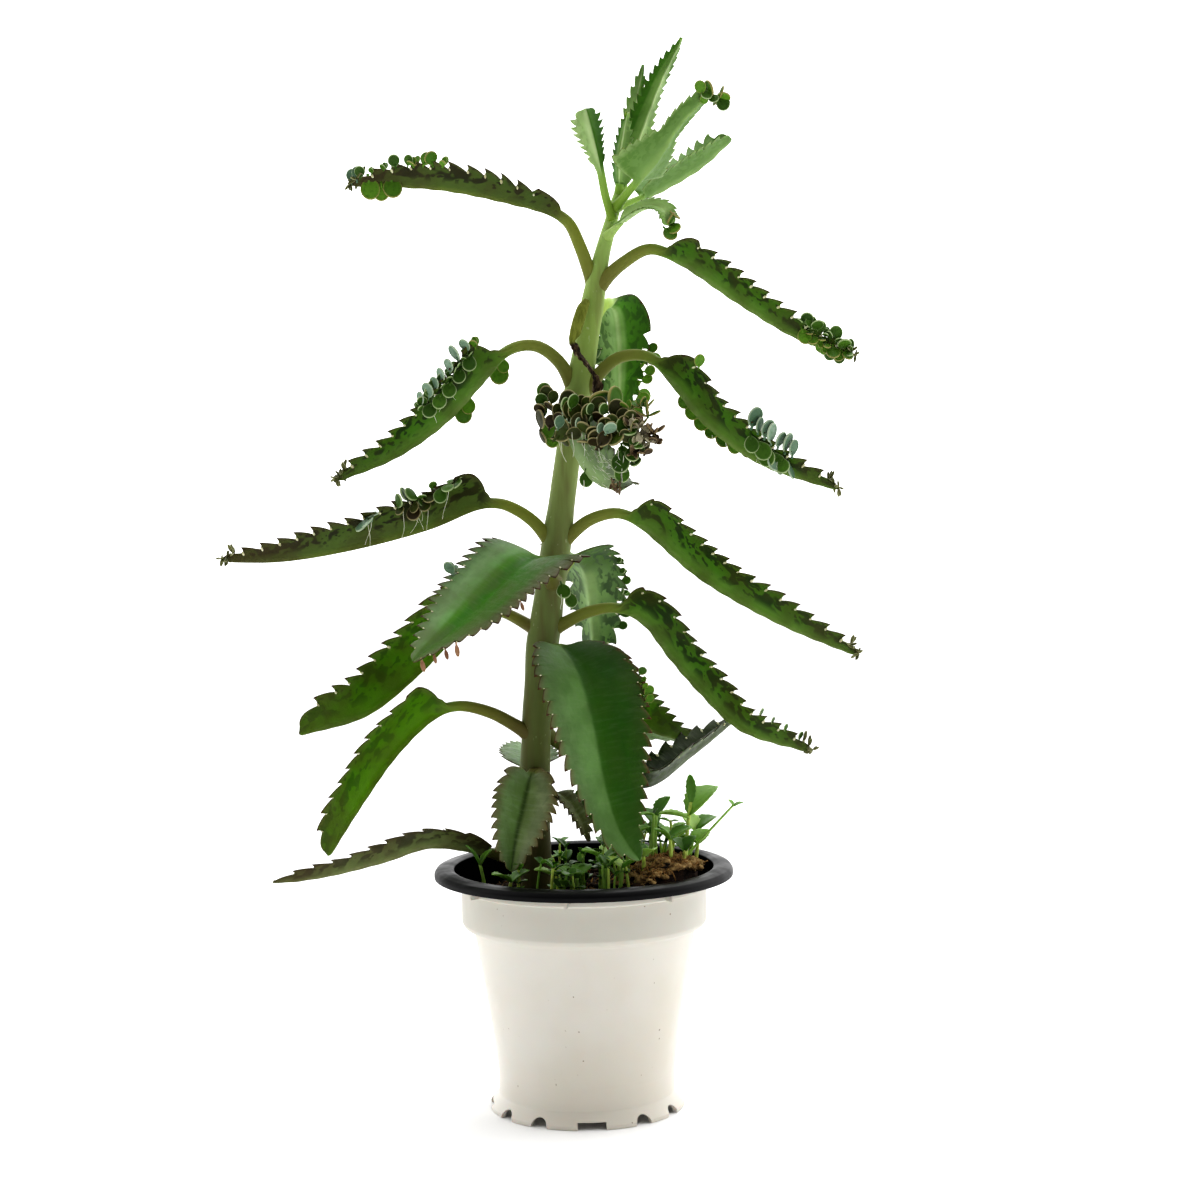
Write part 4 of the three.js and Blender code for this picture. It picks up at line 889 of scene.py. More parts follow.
def plantletMaterial(name, look):
    material, tree, shader = newMaterial("plantlets_" + name, 0.45, 0.16)
    tint = attribute(tree, "tint")
    flecks = noisePattern(tree, objectPlace(tree), 900, 2)
    colour = mixColour(tree, tint, tone(look["low"]), tone(look["high"]))
    colour = mixColour(tree, remap(tree, flecks, 0.45, 0.75, 0, 0.5), colour, tone(look["low"]))
    rim = maths(tree, "MULTIPLY", attribute(tree, "rim"), look["rimShare"])
    colour = mixColour(tree, rim, colour, tone(look["rim"]))
    tree.links.new(colour, shader.inputs["Base Color"])
    bump(tree, shader, flecks, 0.2, 0.1)
    fleshy(shader, 0.1, 0.5)
    return material


plantletMaterials = {name: plantletMaterial(name, look) for name, look in plantletLooks.items()}

# Rows of plantlets on each leaf. A row runs along a margin, counted in teeth and set in from the
# edge, or along a guide line with a pitch. It has a look, kinds, a size, which way its plantlets
# face, how strongly they rise (or hang, below zero), how far they stand ahead of the blade, how
# unevenly they turn, lie and grow, and how many of them have roots.
rowDefaults = {
    "face": "viewer", "kinds": ["disc"], "step": 1, "inset": leafForm["toothDepth"], "ahead": 0,
    "turn": 0.3, "scatter": 0, "uneven": 0.15, "roots": 0,
}

# What the crowded dark rows of the cluster share
crowded = {"look": "dark", "kinds": ["disc", "disc", "pair"], "turn": 0.6, "uneven": 0.28}

plantletRows = {
    "g_front": [
        {"look": "dark", "size": 5.6, "rise": 0.9, "turn": 0.5, "scatter": 1, "uneven": 0.25,
         "pitch": 3.9,
         "guide": [[-9, -17, 243.5], [-3, -24, 241.5], [4, -31, 239.5], [12, -38, 237.5],
                   [20, -44, 234]]},
        {**crowded, "size": 5.8, "rise": 0.7, "scatter": 1, "pitch": 4.1,
         "guide": [[-11, -20, 240], [-5, -27, 238], [3, -34, 236.5], [12, -42, 234.5], [19, -47, 231]]},
        {**crowded, "size": 5.8, "rise": 0.6, "scatter": 1, "pitch": 4.1,
         "guide": [[-10, -21, 236], [-3, -30, 234], [5, -38, 232.5], [13, -46, 230], [17, -49, 228]]},
        {**crowded, "size": 5.9, "rise": 0.2, "scatter": 1.2, "roots": 7, "pitch": 3.7,
         "guide": [[-7, -25, 231.5], [-1, -33, 230.5], [6, -40, 229], [13, -48, 226.5]]},
        {"look": "blue", "size": 4.4, "face": "along", "rise": 0.5, "turn": 0.6, "scatter": 1.5,
         "uneven": 0.25, "pitch": 7.5, "guide": [[-4, -33, 235.5], [5, -42, 233], [13, -48, 231.5]]},
        {"look": "green", "size": 4.6, "face": "along", "rise": 0.4, "kinds": ["pair", "disc"],
         "turn": 0.6, "scatter": 1.5, "uneven": 0.25, "pitch": 7,
         "guide": [[-6, -28, 241], [3, -37, 239], [15, -46, 233]]},
        {"look": "green", "size": 5.2, "face": "along", "rise": 0.8, "pitch": 3.4,
         "guide": [[-10.5, -16, 244.5], [-11.5, -17, 241], [-11.5, -17, 236.5]]},
        {"look": "lime", "size": 6.4, "rise": -0.8, "pitch": 3.6,
         "guide": [[-9, -15, 231], [-8, -15, 226.5]]},
        {"look": "green", "size": 6, "rise": -0.5, "kinds": ["disc", "pair"], "roots": 3, "pitch": 3,
         "guide": [[15, -45, 223], [19, -45, 220.5], [20.5, -45, 217.5]]},
        {"look": "green", "size": 7, "rise": -1.5, "pitch": 3.6,
         "guide": [[14, -46, 220], [14.5, -46, 216]]},
        {"look": "lime", "size": 9, "face": "up", "rise": 0.2, "pitch": 5,
         "guide": [[8, -32, 241.5], [14, -34, 241]]},
        {"look": "lime", "size": 5.5, "face": "up", "rise": 0.7, "kinds": ["star", "sprig"], "pitch": 3,
         "guide": [[17, -38, 240.5], [22, -40, 241], [24, -42, 236]]},
        {"look": "green", "size": 5.2, "rise": -1.6, "roots": 2, "pitch": 3,
         "guide": [[3, -32, 214.6], [3.6, -32, 214.6]]},
        {"look": "brown", "size": 4.6, "rise": 0.1, "kinds": ["star", "sprig"], "turn": 0.8,
         "scatter": 1, "uneven": 0.3, "pitch": 1.4,
         "guide": [[18, -46, 234.5], [23, -46, 232.5], [24, -46, 228.5], [20, -48, 226],
                   [16, -49, 224.5]]},
        {"look": "green", "size": 5, "rise": -0.6, "kinds": ["pair", "sprig"], "turn": 0.6,
         "scatter": 0.8, "uneven": 0.25, "pitch": 2,
         "guide": [[17, -47, 228], [20.5, -47, 225], [21, -47, 222.5]]},
        {"look": "straw", "size": 3.8, "rise": -0.2, "kinds": ["sprig", "star"], "turn": 0.9,
         "scatter": 1, "uneven": 0.3, "pitch": 1.7,
         "guide": [[17, -48, 232.5], [22, -48, 230.5], [22.5, -48, 227], [18, -49, 225.5]]},
        {"look": "brown", "size": 3, "rise": -0.8, "kinds": ["star"], "pitch": 1.1,
         "guide": [[11, -47, 213], [14, -48, 211]]},
    ],
    "h_left": [
        {"look": "blue", "side": 1, "from": 0.9, "to": 5.8, "step": 0.75, "inset": 2.4, "size": 5.4,
         "face": "along", "rise": 1.2},
        {"look": "green", "side": 1, "from": 1, "to": 5.8, "step": 0.42, "inset": 4.5, "size": 4.4,
         "rise": 0.3, "ahead": 1, "kinds": ["sprig", "disc"]},
        {"look": "green", "side": 1, "from": 0.9, "to": 5.6, "step": 0.95, "inset": 6, "size": 6,
         "rise": -2.4, "ahead": 2.5, "roots": 3},
        {"look": "lime", "side": 1, "from": 0.3, "to": 0.5, "inset": 1, "size": 6.5, "rise": 1.4,
         "kinds": ["sprig"]},
        {"look": "lime", "size": 7.2, "rise": -2.2, "pitch": 18,
         "guide": [[-26, 2, 249.8], [-41.5, 2, 233.8], [-53, 2, 226.8]]},
        {"look": "lime", "size": 5.5, "rise": -2, "pitch": 18,
         "guide": [[-24.5, 1, 252.6], [-39, 1, 237], [-50.5, 1, 229.8]]},
    ],
    "h_right": [
        {"look": "lime", "size": 5.8, "rise": -1.2, "roots": 2, "pitch": 4.6,
         "guide": [[36.5, 2, 240], [42, 2, 233], [50, 2, 226.5], [60, 1, 222]]},
        {"look": "green", "side": -1, "from": 6.6, "to": 9.4, "step": 0.62, "inset": 6.5, "size": 6.6,
         "rise": -2.2, "ahead": 2.4, "roots": 2},
        {"look": "blue", "side": -1, "from": 6.4, "to": 9.8, "step": 0.55, "inset": 3, "size": 6.2,
         "face": "along", "rise": 1, "ahead": 0.5},
        {"look": "blue", "side": -1, "from": 8.4, "to": 9.8, "step": 0.6, "inset": 7, "size": 5.6,
         "face": "along", "rise": -2.3, "ahead": 2},
        {"look": "lime", "side": -1, "from": 1.5, "to": 1.7, "inset": 2, "size": 5, "rise": 1.2},
    ],
    "j_left": [
        {"look": "green", "side": 1, "from": 8.6, "to": 11.6, "step": 0.7, "inset": 3, "size": 4.2,
         "rise": 0.5, "ahead": 0.7, "kinds": ["disc", "sprig"]},
        {"look": "lime", "side": 1, "from": 6.6, "to": 8.4, "step": 0.55, "inset": 3.4, "size": 5,
         "rise": 0.3, "ahead": 1, "kinds": ["disc", "sprig"]},
        {"look": "lime", "size": 7.2, "rise": -1.5, "pitch": 4,
         "guide": [[-59.5, -12, 311.3], [-65, -12, 309.8], [-69, -12, 313.3]]},
        {"look": "blue", "size": 5, "rise": 0.9, "pitch": 2,
         "guide": [[-71, -12, 317], [-73.5, -12, 316]]},
    ],
    "j_right": [
        {"look": "green", "side": -1, "from": 9, "to": 12.6, "step": 0.36, "inset": 3, "size": 5,
         "rise": 0.6, "ahead": 0.5, "kinds": ["disc", "sprig", "pair"]},
        {"look": "lime", "side": -1, "from": 9.2, "to": 12.4, "step": 0.45, "inset": 6, "size": 5.2,
         "rise": -2.3, "ahead": 1.6, "kinds": ["disc", "pair", "sprig"]},
        {"look": "green", "side": 1, "from": 9.5, "to": 12, "step": 0.6, "inset": 4, "size": 5,
         "rise": -1.2},
    ],
    "f_left": [
        {"look": "green", "side": 1, "from": 1, "to": 1.9, "step": 0.45, "inset": 3, "size": 5,
         "rise": -2.4, "ahead": 1.8, "kinds": ["pair", "disc"], "turn": 0.5, "roots": 1},
        {"look": "dark", "side": 1, "from": 2.4, "to": 4.8, "step": 0.5, "inset": 5, "size": 4.6,
         "rise": -2, "ahead": 2, "kinds": ["disc", "pair"], "turn": 0.7, "scatter": 1, "uneven": 0.3,
         "roots": 8},
        {"look": "green", "side": 1, "from": 2.4, "to": 5, "step": 0.6, "inset": 3.4, "size": 4.4,
         "rise": 0.2, "ahead": 1, "kinds": ["pair", "disc"], "turn": 0.7, "scatter": 1, "uneven": 0.3},
        {"look": "blue", "side": 1, "from": 6.4, "to": 6.9, "step": 0.35, "inset": 5, "size": 5.4,
         "face": "along", "rise": -2.2, "ahead": 1.5, "kinds": ["pair"], "roots": 2},
    ],
    "e_front": [
        {"look": "blue", "side": -1, "from": 7.2, "to": 7.6, "inset": 3, "size": 6.5, "rise": 1.1,
         "kinds": ["sprig"]},
        {"look": "rust", "side": 1, "from": 14.6, "to": 17.8, "step": 0.95, "inset": 2.5, "size": 3.6,
         "rise": -2.6, "kinds": ["club"]},
        {"look": "rust", "side": 1, "from": 8, "to": 8.4, "inset": 2.5, "size": 3.4, "rise": -2.6,
         "kinds": ["club"]},
        {"look": "green", "size": 5.6, "rise": -0.9, "roots": 1, "pitch": 4,
         "guide": [[-5, -18, 177.5], [-2, -19, 173.5]]},
    ],
    "e_back": [
        {"look": "green", "side": -1, "from": 3, "to": 9, "step": 0.9, "size": 4, "rise": 0.2,
         "kinds": ["disc", "sprig"]},
    ],
    "c_front": [
        {"look": "lime", "side": 1, "from": 4.2, "to": 6.4, "step": 0.55, "inset": 1.5, "size": 3.6,
         "rise": 0.9, "kinds": ["sprig", "disc"]},
    ],
    "d_right": [
        {"look": "green", "side": -1, "from": 11, "to": 14, "size": 3, "face": "along", "rise": 0.6},
    ],
    "i_back": [
        {"look": "green", "side": 1, "from": 3.5, "to": 8, "step": 0.8, "size": 5, "rise": -0.2,
         "kinds": ["disc", "sprig"]},
        {"look": "lime", "side": -1, "from": 4.5, "to": 9, "step": 0.7, "inset": 1, "size": 5, "rise": 0,
         "kinds": ["disc", "pair"]},
    ],
    "k_right": [
        {"look": "lime", "size": 5.4, "rise": -0.2, "kinds": ["disc", "pair"], "pitch": 2.4,
         "guide": [[33.6, -13, 301.5], [33.8, -13, 298], [31.8, -14, 294.5]]},
    ],
    "l_right": [
        {"look": "lime", "size": 5.6, "rise": 0.5, "kinds": ["disc", "pair"], "turn": 0.6, "pitch": 2.9,
         "guide": [[42.2, -19, 342.6], [47.6, -19, 341], [51, -18, 340]]},
        {"look": "green", "size": 4.8, "rise": -0.6, "kinds": ["disc", "pair"], "pitch": 3,
         "guide": [[44, -19, 338.5], [50, -18, 336.5]]},
    ],
    "a_side": [
        {"look": "green", "side": 1, "from": 2, "to": 6, "step": 2, "size": 3.8, "rise": 0.3},
    ],
}

# Small spiky plantlets at the tips of these leaves
spikyTips = ["h_left", "h_right", "j_left", "j_right", "f_left", "f_right", "d_right"]


def rowPlaces(leaf, run):
    # Root, outward direction and direction along the row, for each plantlet of a row
    if "guide" in run:
        line, shares, length = spineLine(run["guide"])
        for share in np.arange(0, 1.0001, run["pitch"] / length):
            root = lineAt(line, shares, share)
            yield root, np.array([0, -0.3, 0.1]), unit(line[-1] - line[0])
        return
    for k in np.arange(run["from"], run["to"] + 0.001, run["step"]):
        along, distance = marginPlace(leaf, k / leaf["teeth"], run["side"], run["inset"])
        root, inner = [bladePoint(leaf, np.array(along), np.array(reach), np.array(0.0))
                       for reach in (distance, distance - run["side"] * 3)]
        yield root, unit(root - inner), leafFrame(leaf, np.array(along))[1]


def spikyRuns(leaf):
    last = leaf["teeth"]
    return [{"look": "olive", "side": side, "from": last - 0.7, "to": last, "step": 0.35, "inset": 1,
             "size": 3.4, "rise": rise, "kinds": ["star"]} for side, rise in ((1, -0.4), (-1, 0.2))]


def rootLine(start, chance):
    # A thin white root that hangs down in a slight curve
    length = chance.uniform(5, 12)
    sway = np.array([chance.uniform(-0.35, 0.35), chance.uniform(-0.25, 0), 0])
    line = []
    for share in np.linspace(0, 1, 9):
        curl = 0.6 * np.array([math.sin(share * 5 + start[0]), 0, 0])
        fall = np.array([0, 0, share * length])
        line.append(start + sway * share ** 2 * length - fall + curl * share)
    return line


def jitter(chance, most):
    return [chance.uniform(-most, most) for _ in range(3)]


def makePlantlets(leaf):
    name = leaf["name"]
    runs = plantletRows.get(name, []) + (spikyRuns(leaf) if name in spikyTips else [])
    chance = random.Random(name)
    faces = {"viewer": np.array([0, -1, 0.25]), "up": np.array([0.1, -0.5, 1])}
    byLook = {}
    roots = []
    for row in runs:
        run = {**rowDefaults, **row}
        places = list(rowPlaces(leaf, run))
        for root, outward, along in places:
            lean = outward + np.array([0, 0, run["rise"]]) + jitter(chance, plantletForm["leanJitter"])
            facing = faces.get(run["face"], along + 0.7 * faces["viewer"]) + jitter(chance, run["turn"])
            size = run["size"] * chance.uniform(1 - run["uneven"], 1 + run["uneven"])
            root = root + jitter(chance, run["scatter"])
            if "guide" in run:
                root = root - unit(lean) * plantletForm["middle"] * size
            else:
                root = root + faces["viewer"] * run["ahead"]
            kind = chance.choice(run["kinds"])
            group = byLook.setdefault(run["look"], {}).setdefault(kind, [])
            group.append(placing(root, lean, facing, size))
        for _ in range(run["roots"]):
            start = chance.choice(places)[0] + [chance.uniform(-1, 1), -1.2, chance.uniform(-1, 0.5)]
            roots.append(threadPiece(rootLine(start, chance), plantletForm["rootRadius"]))
    for look, groups in byLook.items():
        pieces = []
        for kind, placings in groups.items():
            tints = [chance.random() for _ in placings]
            pieces.append(copyTemplate(templates[kind], placings, kind + "s", tints))
        piece = joinPieces(pieces, f"plantlets_{name}_{look}")
        dress(piece, plantletMaterials[look], "leaf_green")
    if roots:
        dress(joinPieces(roots, "roots_" + name), rootMaterial, "leaf_green")


def plainMaterial(name, low, high, roughness=0.6):
    material, tree, shader = newMaterial(name, roughness, 0.25)
    flecks = noisePattern(tree, objectPlace(tree), 600, 3)
    colour = mixColour(tree, remap(tree, flecks, 0.35, 0.65), tone(low), tone(high))
    tree.links.new(colour, shader.inputs["Base Color"])
    fleshy(shader, 0.1, 0.5)
    return material


rootMaterial = plainMaterial("roots", "#d6d8c0", "#f0f0e2")

# Fine white hairs that lie over the underside of a leaf near its tip
hairForm = {
    "leaf": "g_front",
    "count": 90,
    "radius": 0.06,
    "length": (1.5, 3.5),
    "across": (-9, 1.5),
}


def makeHairs(leaf):
    chance = random.Random(17)
    threads = []
    for _ in range(hairForm["count"]):
        along = chance.triangular(0.45, 1, 0.85)
        distance = chance.uniform(*hairForm["across"])
        foot = bladePoint(leaf, np.array(along), np.array(distance), np.array(-1.1))
        point, tangent, across, normal = leafFrame(leaf, np.array(along))
        heading = unit(tangent + across * chance.uniform(-0.9, 0.9) + [0, 0, chance.uniform(-0.5, 0.7)])
        length = chance.uniform(*hairForm["length"])
        lift = np.array([0, -0.5, -0.1])
        line = [foot + heading * length * share + lift * math.sin(share * 3)
                for share in np.linspace(0, 1, 6)]
        threads.append(threadPiece(line, hairForm["radius"], 4))
    dress(joinPieces(threads, "hairs_" + leaf["name"]), rootMaterial, "leaf_green")


# Bulbils: the cream buds in the notches, from which plantlets grow
bulbilForm = {
    "length": 1.8,
    "width": 0.95,
    "ahead": 0.5,
    "onHeaded": 0.6,        # how large they are on the leaves that have a heading
    "skip": ["g_front", "soil_left", "k_right", "l_left", "l_behind", "l_right"],
}


def makeBulbils():
    bpy.ops.mesh.primitive_uv_sphere_add(segments=8, ring_count=6, radius=0.5 * mm)
    template = bpy.context.object
    bpy.ops.object.shade_smooth()
    chance = random.Random(3)
    placings = []
    for row in leaves:
        leaf = prepareLeaf(row)
        if leaf["name"] in bulbilForm["skip"]:
            continue
        inset = leafForm["toothDepth"] * leafForm["deeper"] * leaf["toothSize"] * 0.9
        for side in (-1, 1):
            for k in range(leaf["smooth"] + 1, leaf["teeth"]):
                spot = leaf["teeth"] * ((k - 0.13) / leaf["teeth"]) ** leafForm["crowding"]
                run = {"from": spot, "to": spot, "step": 1, "side": side, "inset": inset}
                root, outward, along = next(rowPlaces(leaf, run))
                root = root + np.array([0, -bulbilForm["ahead"], 0])
                growth = leaf["toothSize"] * (bulbilForm["onHeaded"] if leaf["heading"] else 1)
                length = bulbilForm["length"] * chance.uniform(0.6, 1.15) * growth
                placings.append(placing(root, outward + 0.3 * along, np.array([0.1, -1, 0.2]), length,
                                        bulbilForm["width"] * chance.uniform(0.8, 1.1) * growth))
    piece = copyTemplate(template, placings, "bulbils")
    bpy.data.objects.remove(template)
    dress(piece, plainMaterial("bulbils", "#b4b088", "#dcdcba"), "leaf_green")


def threadPiece(line, radius, around=5):
    # A thin tube that tapers to its end
    radii = radius * np.linspace(1, 0.45, len(line))
    return gridPiece("thread", metres(tubeGrid(line, radii, around)))


for row in leaves:
    leaf = prepareLeaf(row)
    piece = makeLeaf("fine_leaf_" + leaf["name"], leaf)
    dress(piece, leafMaterials[leaf["look"]], leaf["slot"], "leaf_" + leaf["name"])
    makePlantlets(leaf)
    if leaf["name"] == hairForm["leaf"]:
        makeHairs(leaf)
makeBulbils()
print("leaves made")

# The withered leaf: an olive stalk like a pod, and a brown ribbon twisted on itself. Its stations
# are places along the middle, the radius there and how flat it is.
witheredForm = {
    "line": [[4, -5, 274], [2.6, -7, 271.5], [1.2, -8.5, 267.5], [0, -9.5, 263.5], [-1.1, -9.8, 260.5],
             [1.2, -11, 256], [4.2, -12, 252], [6.2, -12.5, 249], [7.2, -13.5, 245], [8.6, -14.5, 240]],
    "radii": [1.2, 1.9, 2, 1.9, 1, 1.5, 1.7, 1.2, 1.8, 1.5],
    "flat": [0.8, 0.8, 0.8, 0.8, 0.8, 0.35, 0.35, 0.5, 0.3, 0.3],
    "twist": 5.5,
    "wrinkle": 0.6,
    "seed": 5,
    "around": 36,
}


def witheredMaterial():
    material, tree, shader = newMaterial("withered", 0.8, 0.15)
    place = objectPlace(tree)
    creases = noisePattern(tree, place, 700, 4, (1, 1, 0.25), 0.7)
    fresh = mixColour(tree, remap(tree, creases, 0.3, 0.7), tone("#5c6420"), tone("#7c8436"))
    old = ramp(tree, creases, [(0.3, "#0f0a06"), (0.46, "#2a1d12"), (0.58, "#544430"),
                               (0.7, "#8c8068")])
    colour = mixColour(tree, attribute(tree, "dry"), fresh, old)
    tree.links.new(colour, shader.inputs["Base Color"])
    bump(tree, shader, creases, 0.7, 0.5)
    return material


def makeWithered():
    line, shares, length = spineLine(witheredForm["line"])
    stations = np.array(witheredForm["line"])
    knots = [shares[np.argmin(np.linalg.norm(line - spot, axis=1))] for spot in stations]
    along = np.linspace(0, 1, 130)
    centre = lineAt(line, shares, along)
    radii = np.interp(along, knots, witheredForm["radii"])
    flat = np.interp(along, knots, witheredForm["flat"])
    podEnd = knots[4]
    dry = smooth((along - podEnd) / 0.04)
    tangents = unit(np.gradient(centre, axis=0))
    across = unit(np.cross(tangents, [0.1, -1, 0.15]))
    normal = np.cross(across, tangents)
    turn = np.linspace(0, 2 * math.pi, witheredForm["around"] + 1)[None, :]
    angle = (witheredForm["twist"] * np.clip(along - podEnd, 0, 1))[:, None]
    pleats = np.sin(turn * 3 + along[:, None] * 40)
    wide = radii[:, None] * np.cos(turn) * (1 + 0.25 * dry[:, None] * pleats)
    deep = radii[:, None] * np.sin(turn) * flat[:, None]
    right = wide * np.cos(angle) - deep * np.sin(angle)
    up = wide * np.sin(angle) + deep * np.cos(angle)
    points = centre[:, None] + right[..., None] * across[:, None] + up[..., None] * normal[:, None]
    noise.seed_set(witheredForm["seed"])  # without it the wrinkles differ from one run to the next
    for row, share in enumerate(dry):
        for spot in points[row, :-1]:
            ripple = np.array(noise.noise_vector(Vector(spot * 0.8)))
            spot += witheredForm["wrinkle"] * share * ripple
    points[:, -1] = points[:, 0]
    ends = [np.repeat(centre[at][None, None], len(turn[0]), axis=1) for at in (0, -1)]
    points = np.concatenate([ends[0], points, ends[1]])
    marks = np.concatenate([dry[:1], dry, dry[-1:]])[:, None] + 0 * turn
    piece = gridPiece("fine_leaf_i_front_withered", metres(points), {"dry": marks})
    dress(piece, witheredMaterial(), "leaf_dry", "leaf_i_front_withered")


makeWithered()

tips = [makeLeaf(f"tip_{index}", prepareLeaf(row)) for index, row in enumerate(tipLeaves)]
growingTip = joinPieces(tips, "fine_growing_tip")
dress(growingTip, leafMaterials["tip"], "leaf_green", "growing_tip")

# The stem: x, z and radius of its stations, from the soil to the tip
stemForm = {
    "stations": [
        (-16, 34, 3.2), (-16.2, 64, 5), (-16.3, 82, 5.4), (-16.3, 98, 5.1), (-16.3, 113, 5.5),
        (-15.7, 124, 4.9), (-15.1, 134, 5.2), (-14.2, 146, 4.9), (-13.1, 157, 5.6), (-11.5, 167, 5.4),
        (-10.1, 177, 4.9), (-8.7, 186, 5.2), (-7.1, 196, 5), (-5.3, 208, 4.4), (-3.4, 221, 4.3),
        (-1.3, 233, 4.4), (0.9, 246, 4.8), (3, 257, 4), (5, 269, 4.1), (7.2, 280, 3.5), (9.4, 290, 2.6),
        (12, 299, 2.2), (14.6, 308, 1.9), (15.6, 311.5, 1.2),
    ],
    "around": 28,
    "rows": 220,
}


def stemMaterial():
    material, tree, shader = newMaterial("stem", 0.6, 0.25)
    place = objectPlace(tree)
    height = remap(tree, parts(tree, place)[2], 0.08, 0.3)
    height.node.interpolation_type = "LINEAR"
    colour = ramp(tree, height, [(0, "#4d4a24"), (0.2, "#56602a"), (0.45, "#687640"), (0.65, "#7f8e50"),
                                 (0.85, "#8aa250"), (1, "#94b060")])
    streaks = noisePattern(tree, place, 260, 3, (1, 1, 0.12))
    colour = mixColour(tree, remap(tree, streaks, 0.45, 0.75, 0, 0.5), colour, tone("#5a4a2a"))
    specks = noisePattern(tree, place, 700, 2, (1, 1, 0.6))
    colour = mixColour(tree, remap(tree, specks, 0.68, 0.78, 0, 0.3), colour, tone("#c9d3a4"))
    tree.links.new(colour, shader.inputs["Base Color"])
    bump(tree, shader, streaks, 0.35, 0.2)
    fleshy(shader, 0.25, 1.5)
    return material


def makeStem():
    stations = np.array(stemForm["stations"], float)
    line, shares, length = spineLine([(x, 0, z) for x, z, _ in stations])
    along = np.linspace(0, 1, stemForm["rows"])
    centre = lineAt(line, shares, along)
    radii = np.interp(centre[:, 2], stations[:, 1], stations[:, 2])
    radii = np.convolve(np.pad(radii, 3, mode="edge"), np.ones(7) / 7, mode="valid")
    points = tubeGrid(centre, radii, stemForm["around"])
    for ring in points:
        for spot in ring:
            swell = noise.noise(Vector(spot * 0.12)) * 0.25
            spot[:2] += (spot[:2] - ring[:, :2].mean(axis=0)) * swell * 0.12
    piece = gridPiece("fine_stem", metres(points))
    dress(piece, stemMaterial(), "stem_green", "stem")


makeStem()
print("stem made")


# The pot. Profiles are radius and height, drawn from the axis outwards and back inside.
potForm = {
    "segments": 96,
    "corner": 0.35,         # how round the corners of a profile are
    "shell": 0.9,
    "fit": 0.3,
    "band": 41.9,
    "ledge": 63.1,
    "flange": 44.4,
    "flangeFoot": 76.9,
    "rim": 51,
    "rimHeight": 83.2,
    "floor": 5.2,
    "foot": 33.3,
    "body": [(30.2, 13), (32.2, 28), (34.8, 44), (37.8, 61.4)],
    "gussets": 8,
    "gussetTurn": -97,
    "notchTurn": -87,
    "drainTurn": -42,
    "drainRadius": 3.2,
    "drainReach": 17,
    "lipShadowHeights": (60, 66),  # between these heights the wall turns greyer: painted shade under the overhanging lip
    "mouthShadeRadii": (44.6, 44.2),  # between these radii the lining turns to a near black without gloss: painted shade inside the mouth
}


def bodyProfile(inset):
    return [(radius - inset, height) for radius, height in potForm["body"]]


def wallProfile():
    band, ledge, flange, foot = [potForm[key] for key in ("band", "ledge", "flange", "flangeFoot")]
    shell, floor, ring = potForm["shell"], potForm["floor"], potForm["foot"]
    outside = [(0, floor), (28.8, floor), (31.6, 1.6), (31.6, 0), (ring, 0), (ring, 1.3), (30.1, 5.4)]
    outside += bodyProfile(0) + [(38.3, ledge - 0.4), (41.1, ledge), (band, ledge + 1.6)]
    outside += [(band, foot - 0.7), (flange, foot), (flange, foot + 2.1), (flange - shell, foot + 2.1)]
    inside = [(band - shell, foot + 0.4), (band - shell, ledge + 1.3), (37.2, ledge + 0.6)]
    return outside + inside + bodyProfile(shell)[::-1] + [(29.1, floor + shell), (0, floor + shell)]


def liningProfile():
    band, ledge, flange, foot = [potForm[key] for key in ("band", "ledge", "flange", "flangeFoot")]
    rim, top, shell = potForm["rim"], potForm["rimHeight"], potForm["shell"]
    inset, floor = shell + potForm["fit"], potForm["floor"]
    outside = [(0, floor + inset), (28.5, floor + inset)] + bodyProfile(inset)
    outside += [(36.8, ledge + 1), (band - inset, ledge + 1.8), (band - inset, foot + 0.5),
                (flange - 1.3, foot + 2.5), (rim - 6, top - 1.5), (rim - 1.4, top - 1.8),
                (rim - 0.9, top - 3.6), (rim, top - 3.6), (rim, top - 1.9), (rim - 0.8, top - 0.7),
                (rim - 2.7, top - 0.1), (rim - 5, top)]
    inner = band - inset - shell
    inside = [(rim - 6.5, top - 0.5), (inner, foot - 0.3), (inner, ledge + 2.4)]
    inside += bodyProfile(inset + shell)[::-1]
    return outside + inside + [(27.8, floor + inset + shell), (0, floor + inset + shell)]


def rounded(profile):
    # Each corner gives way to a short curve
    points = np.array(profile, float)
    curve = [points[0]]
    for before, corner, after in zip(points, points[1:], points[2:]):
        sides = [side - corner for side in (before, after)]
        start, end = [corner + side * min(0.4, potForm["corner"] / np.linalg.norm(side))
                      for side in sides]
        for share in (0, 0.25, 0.5, 0.75, 1):
            rest = 1 - share
            curve.append(rest ** 2 * start + 2 * share * rest * corner + share ** 2 * end)
    return np.array(curve + [points[-1]])


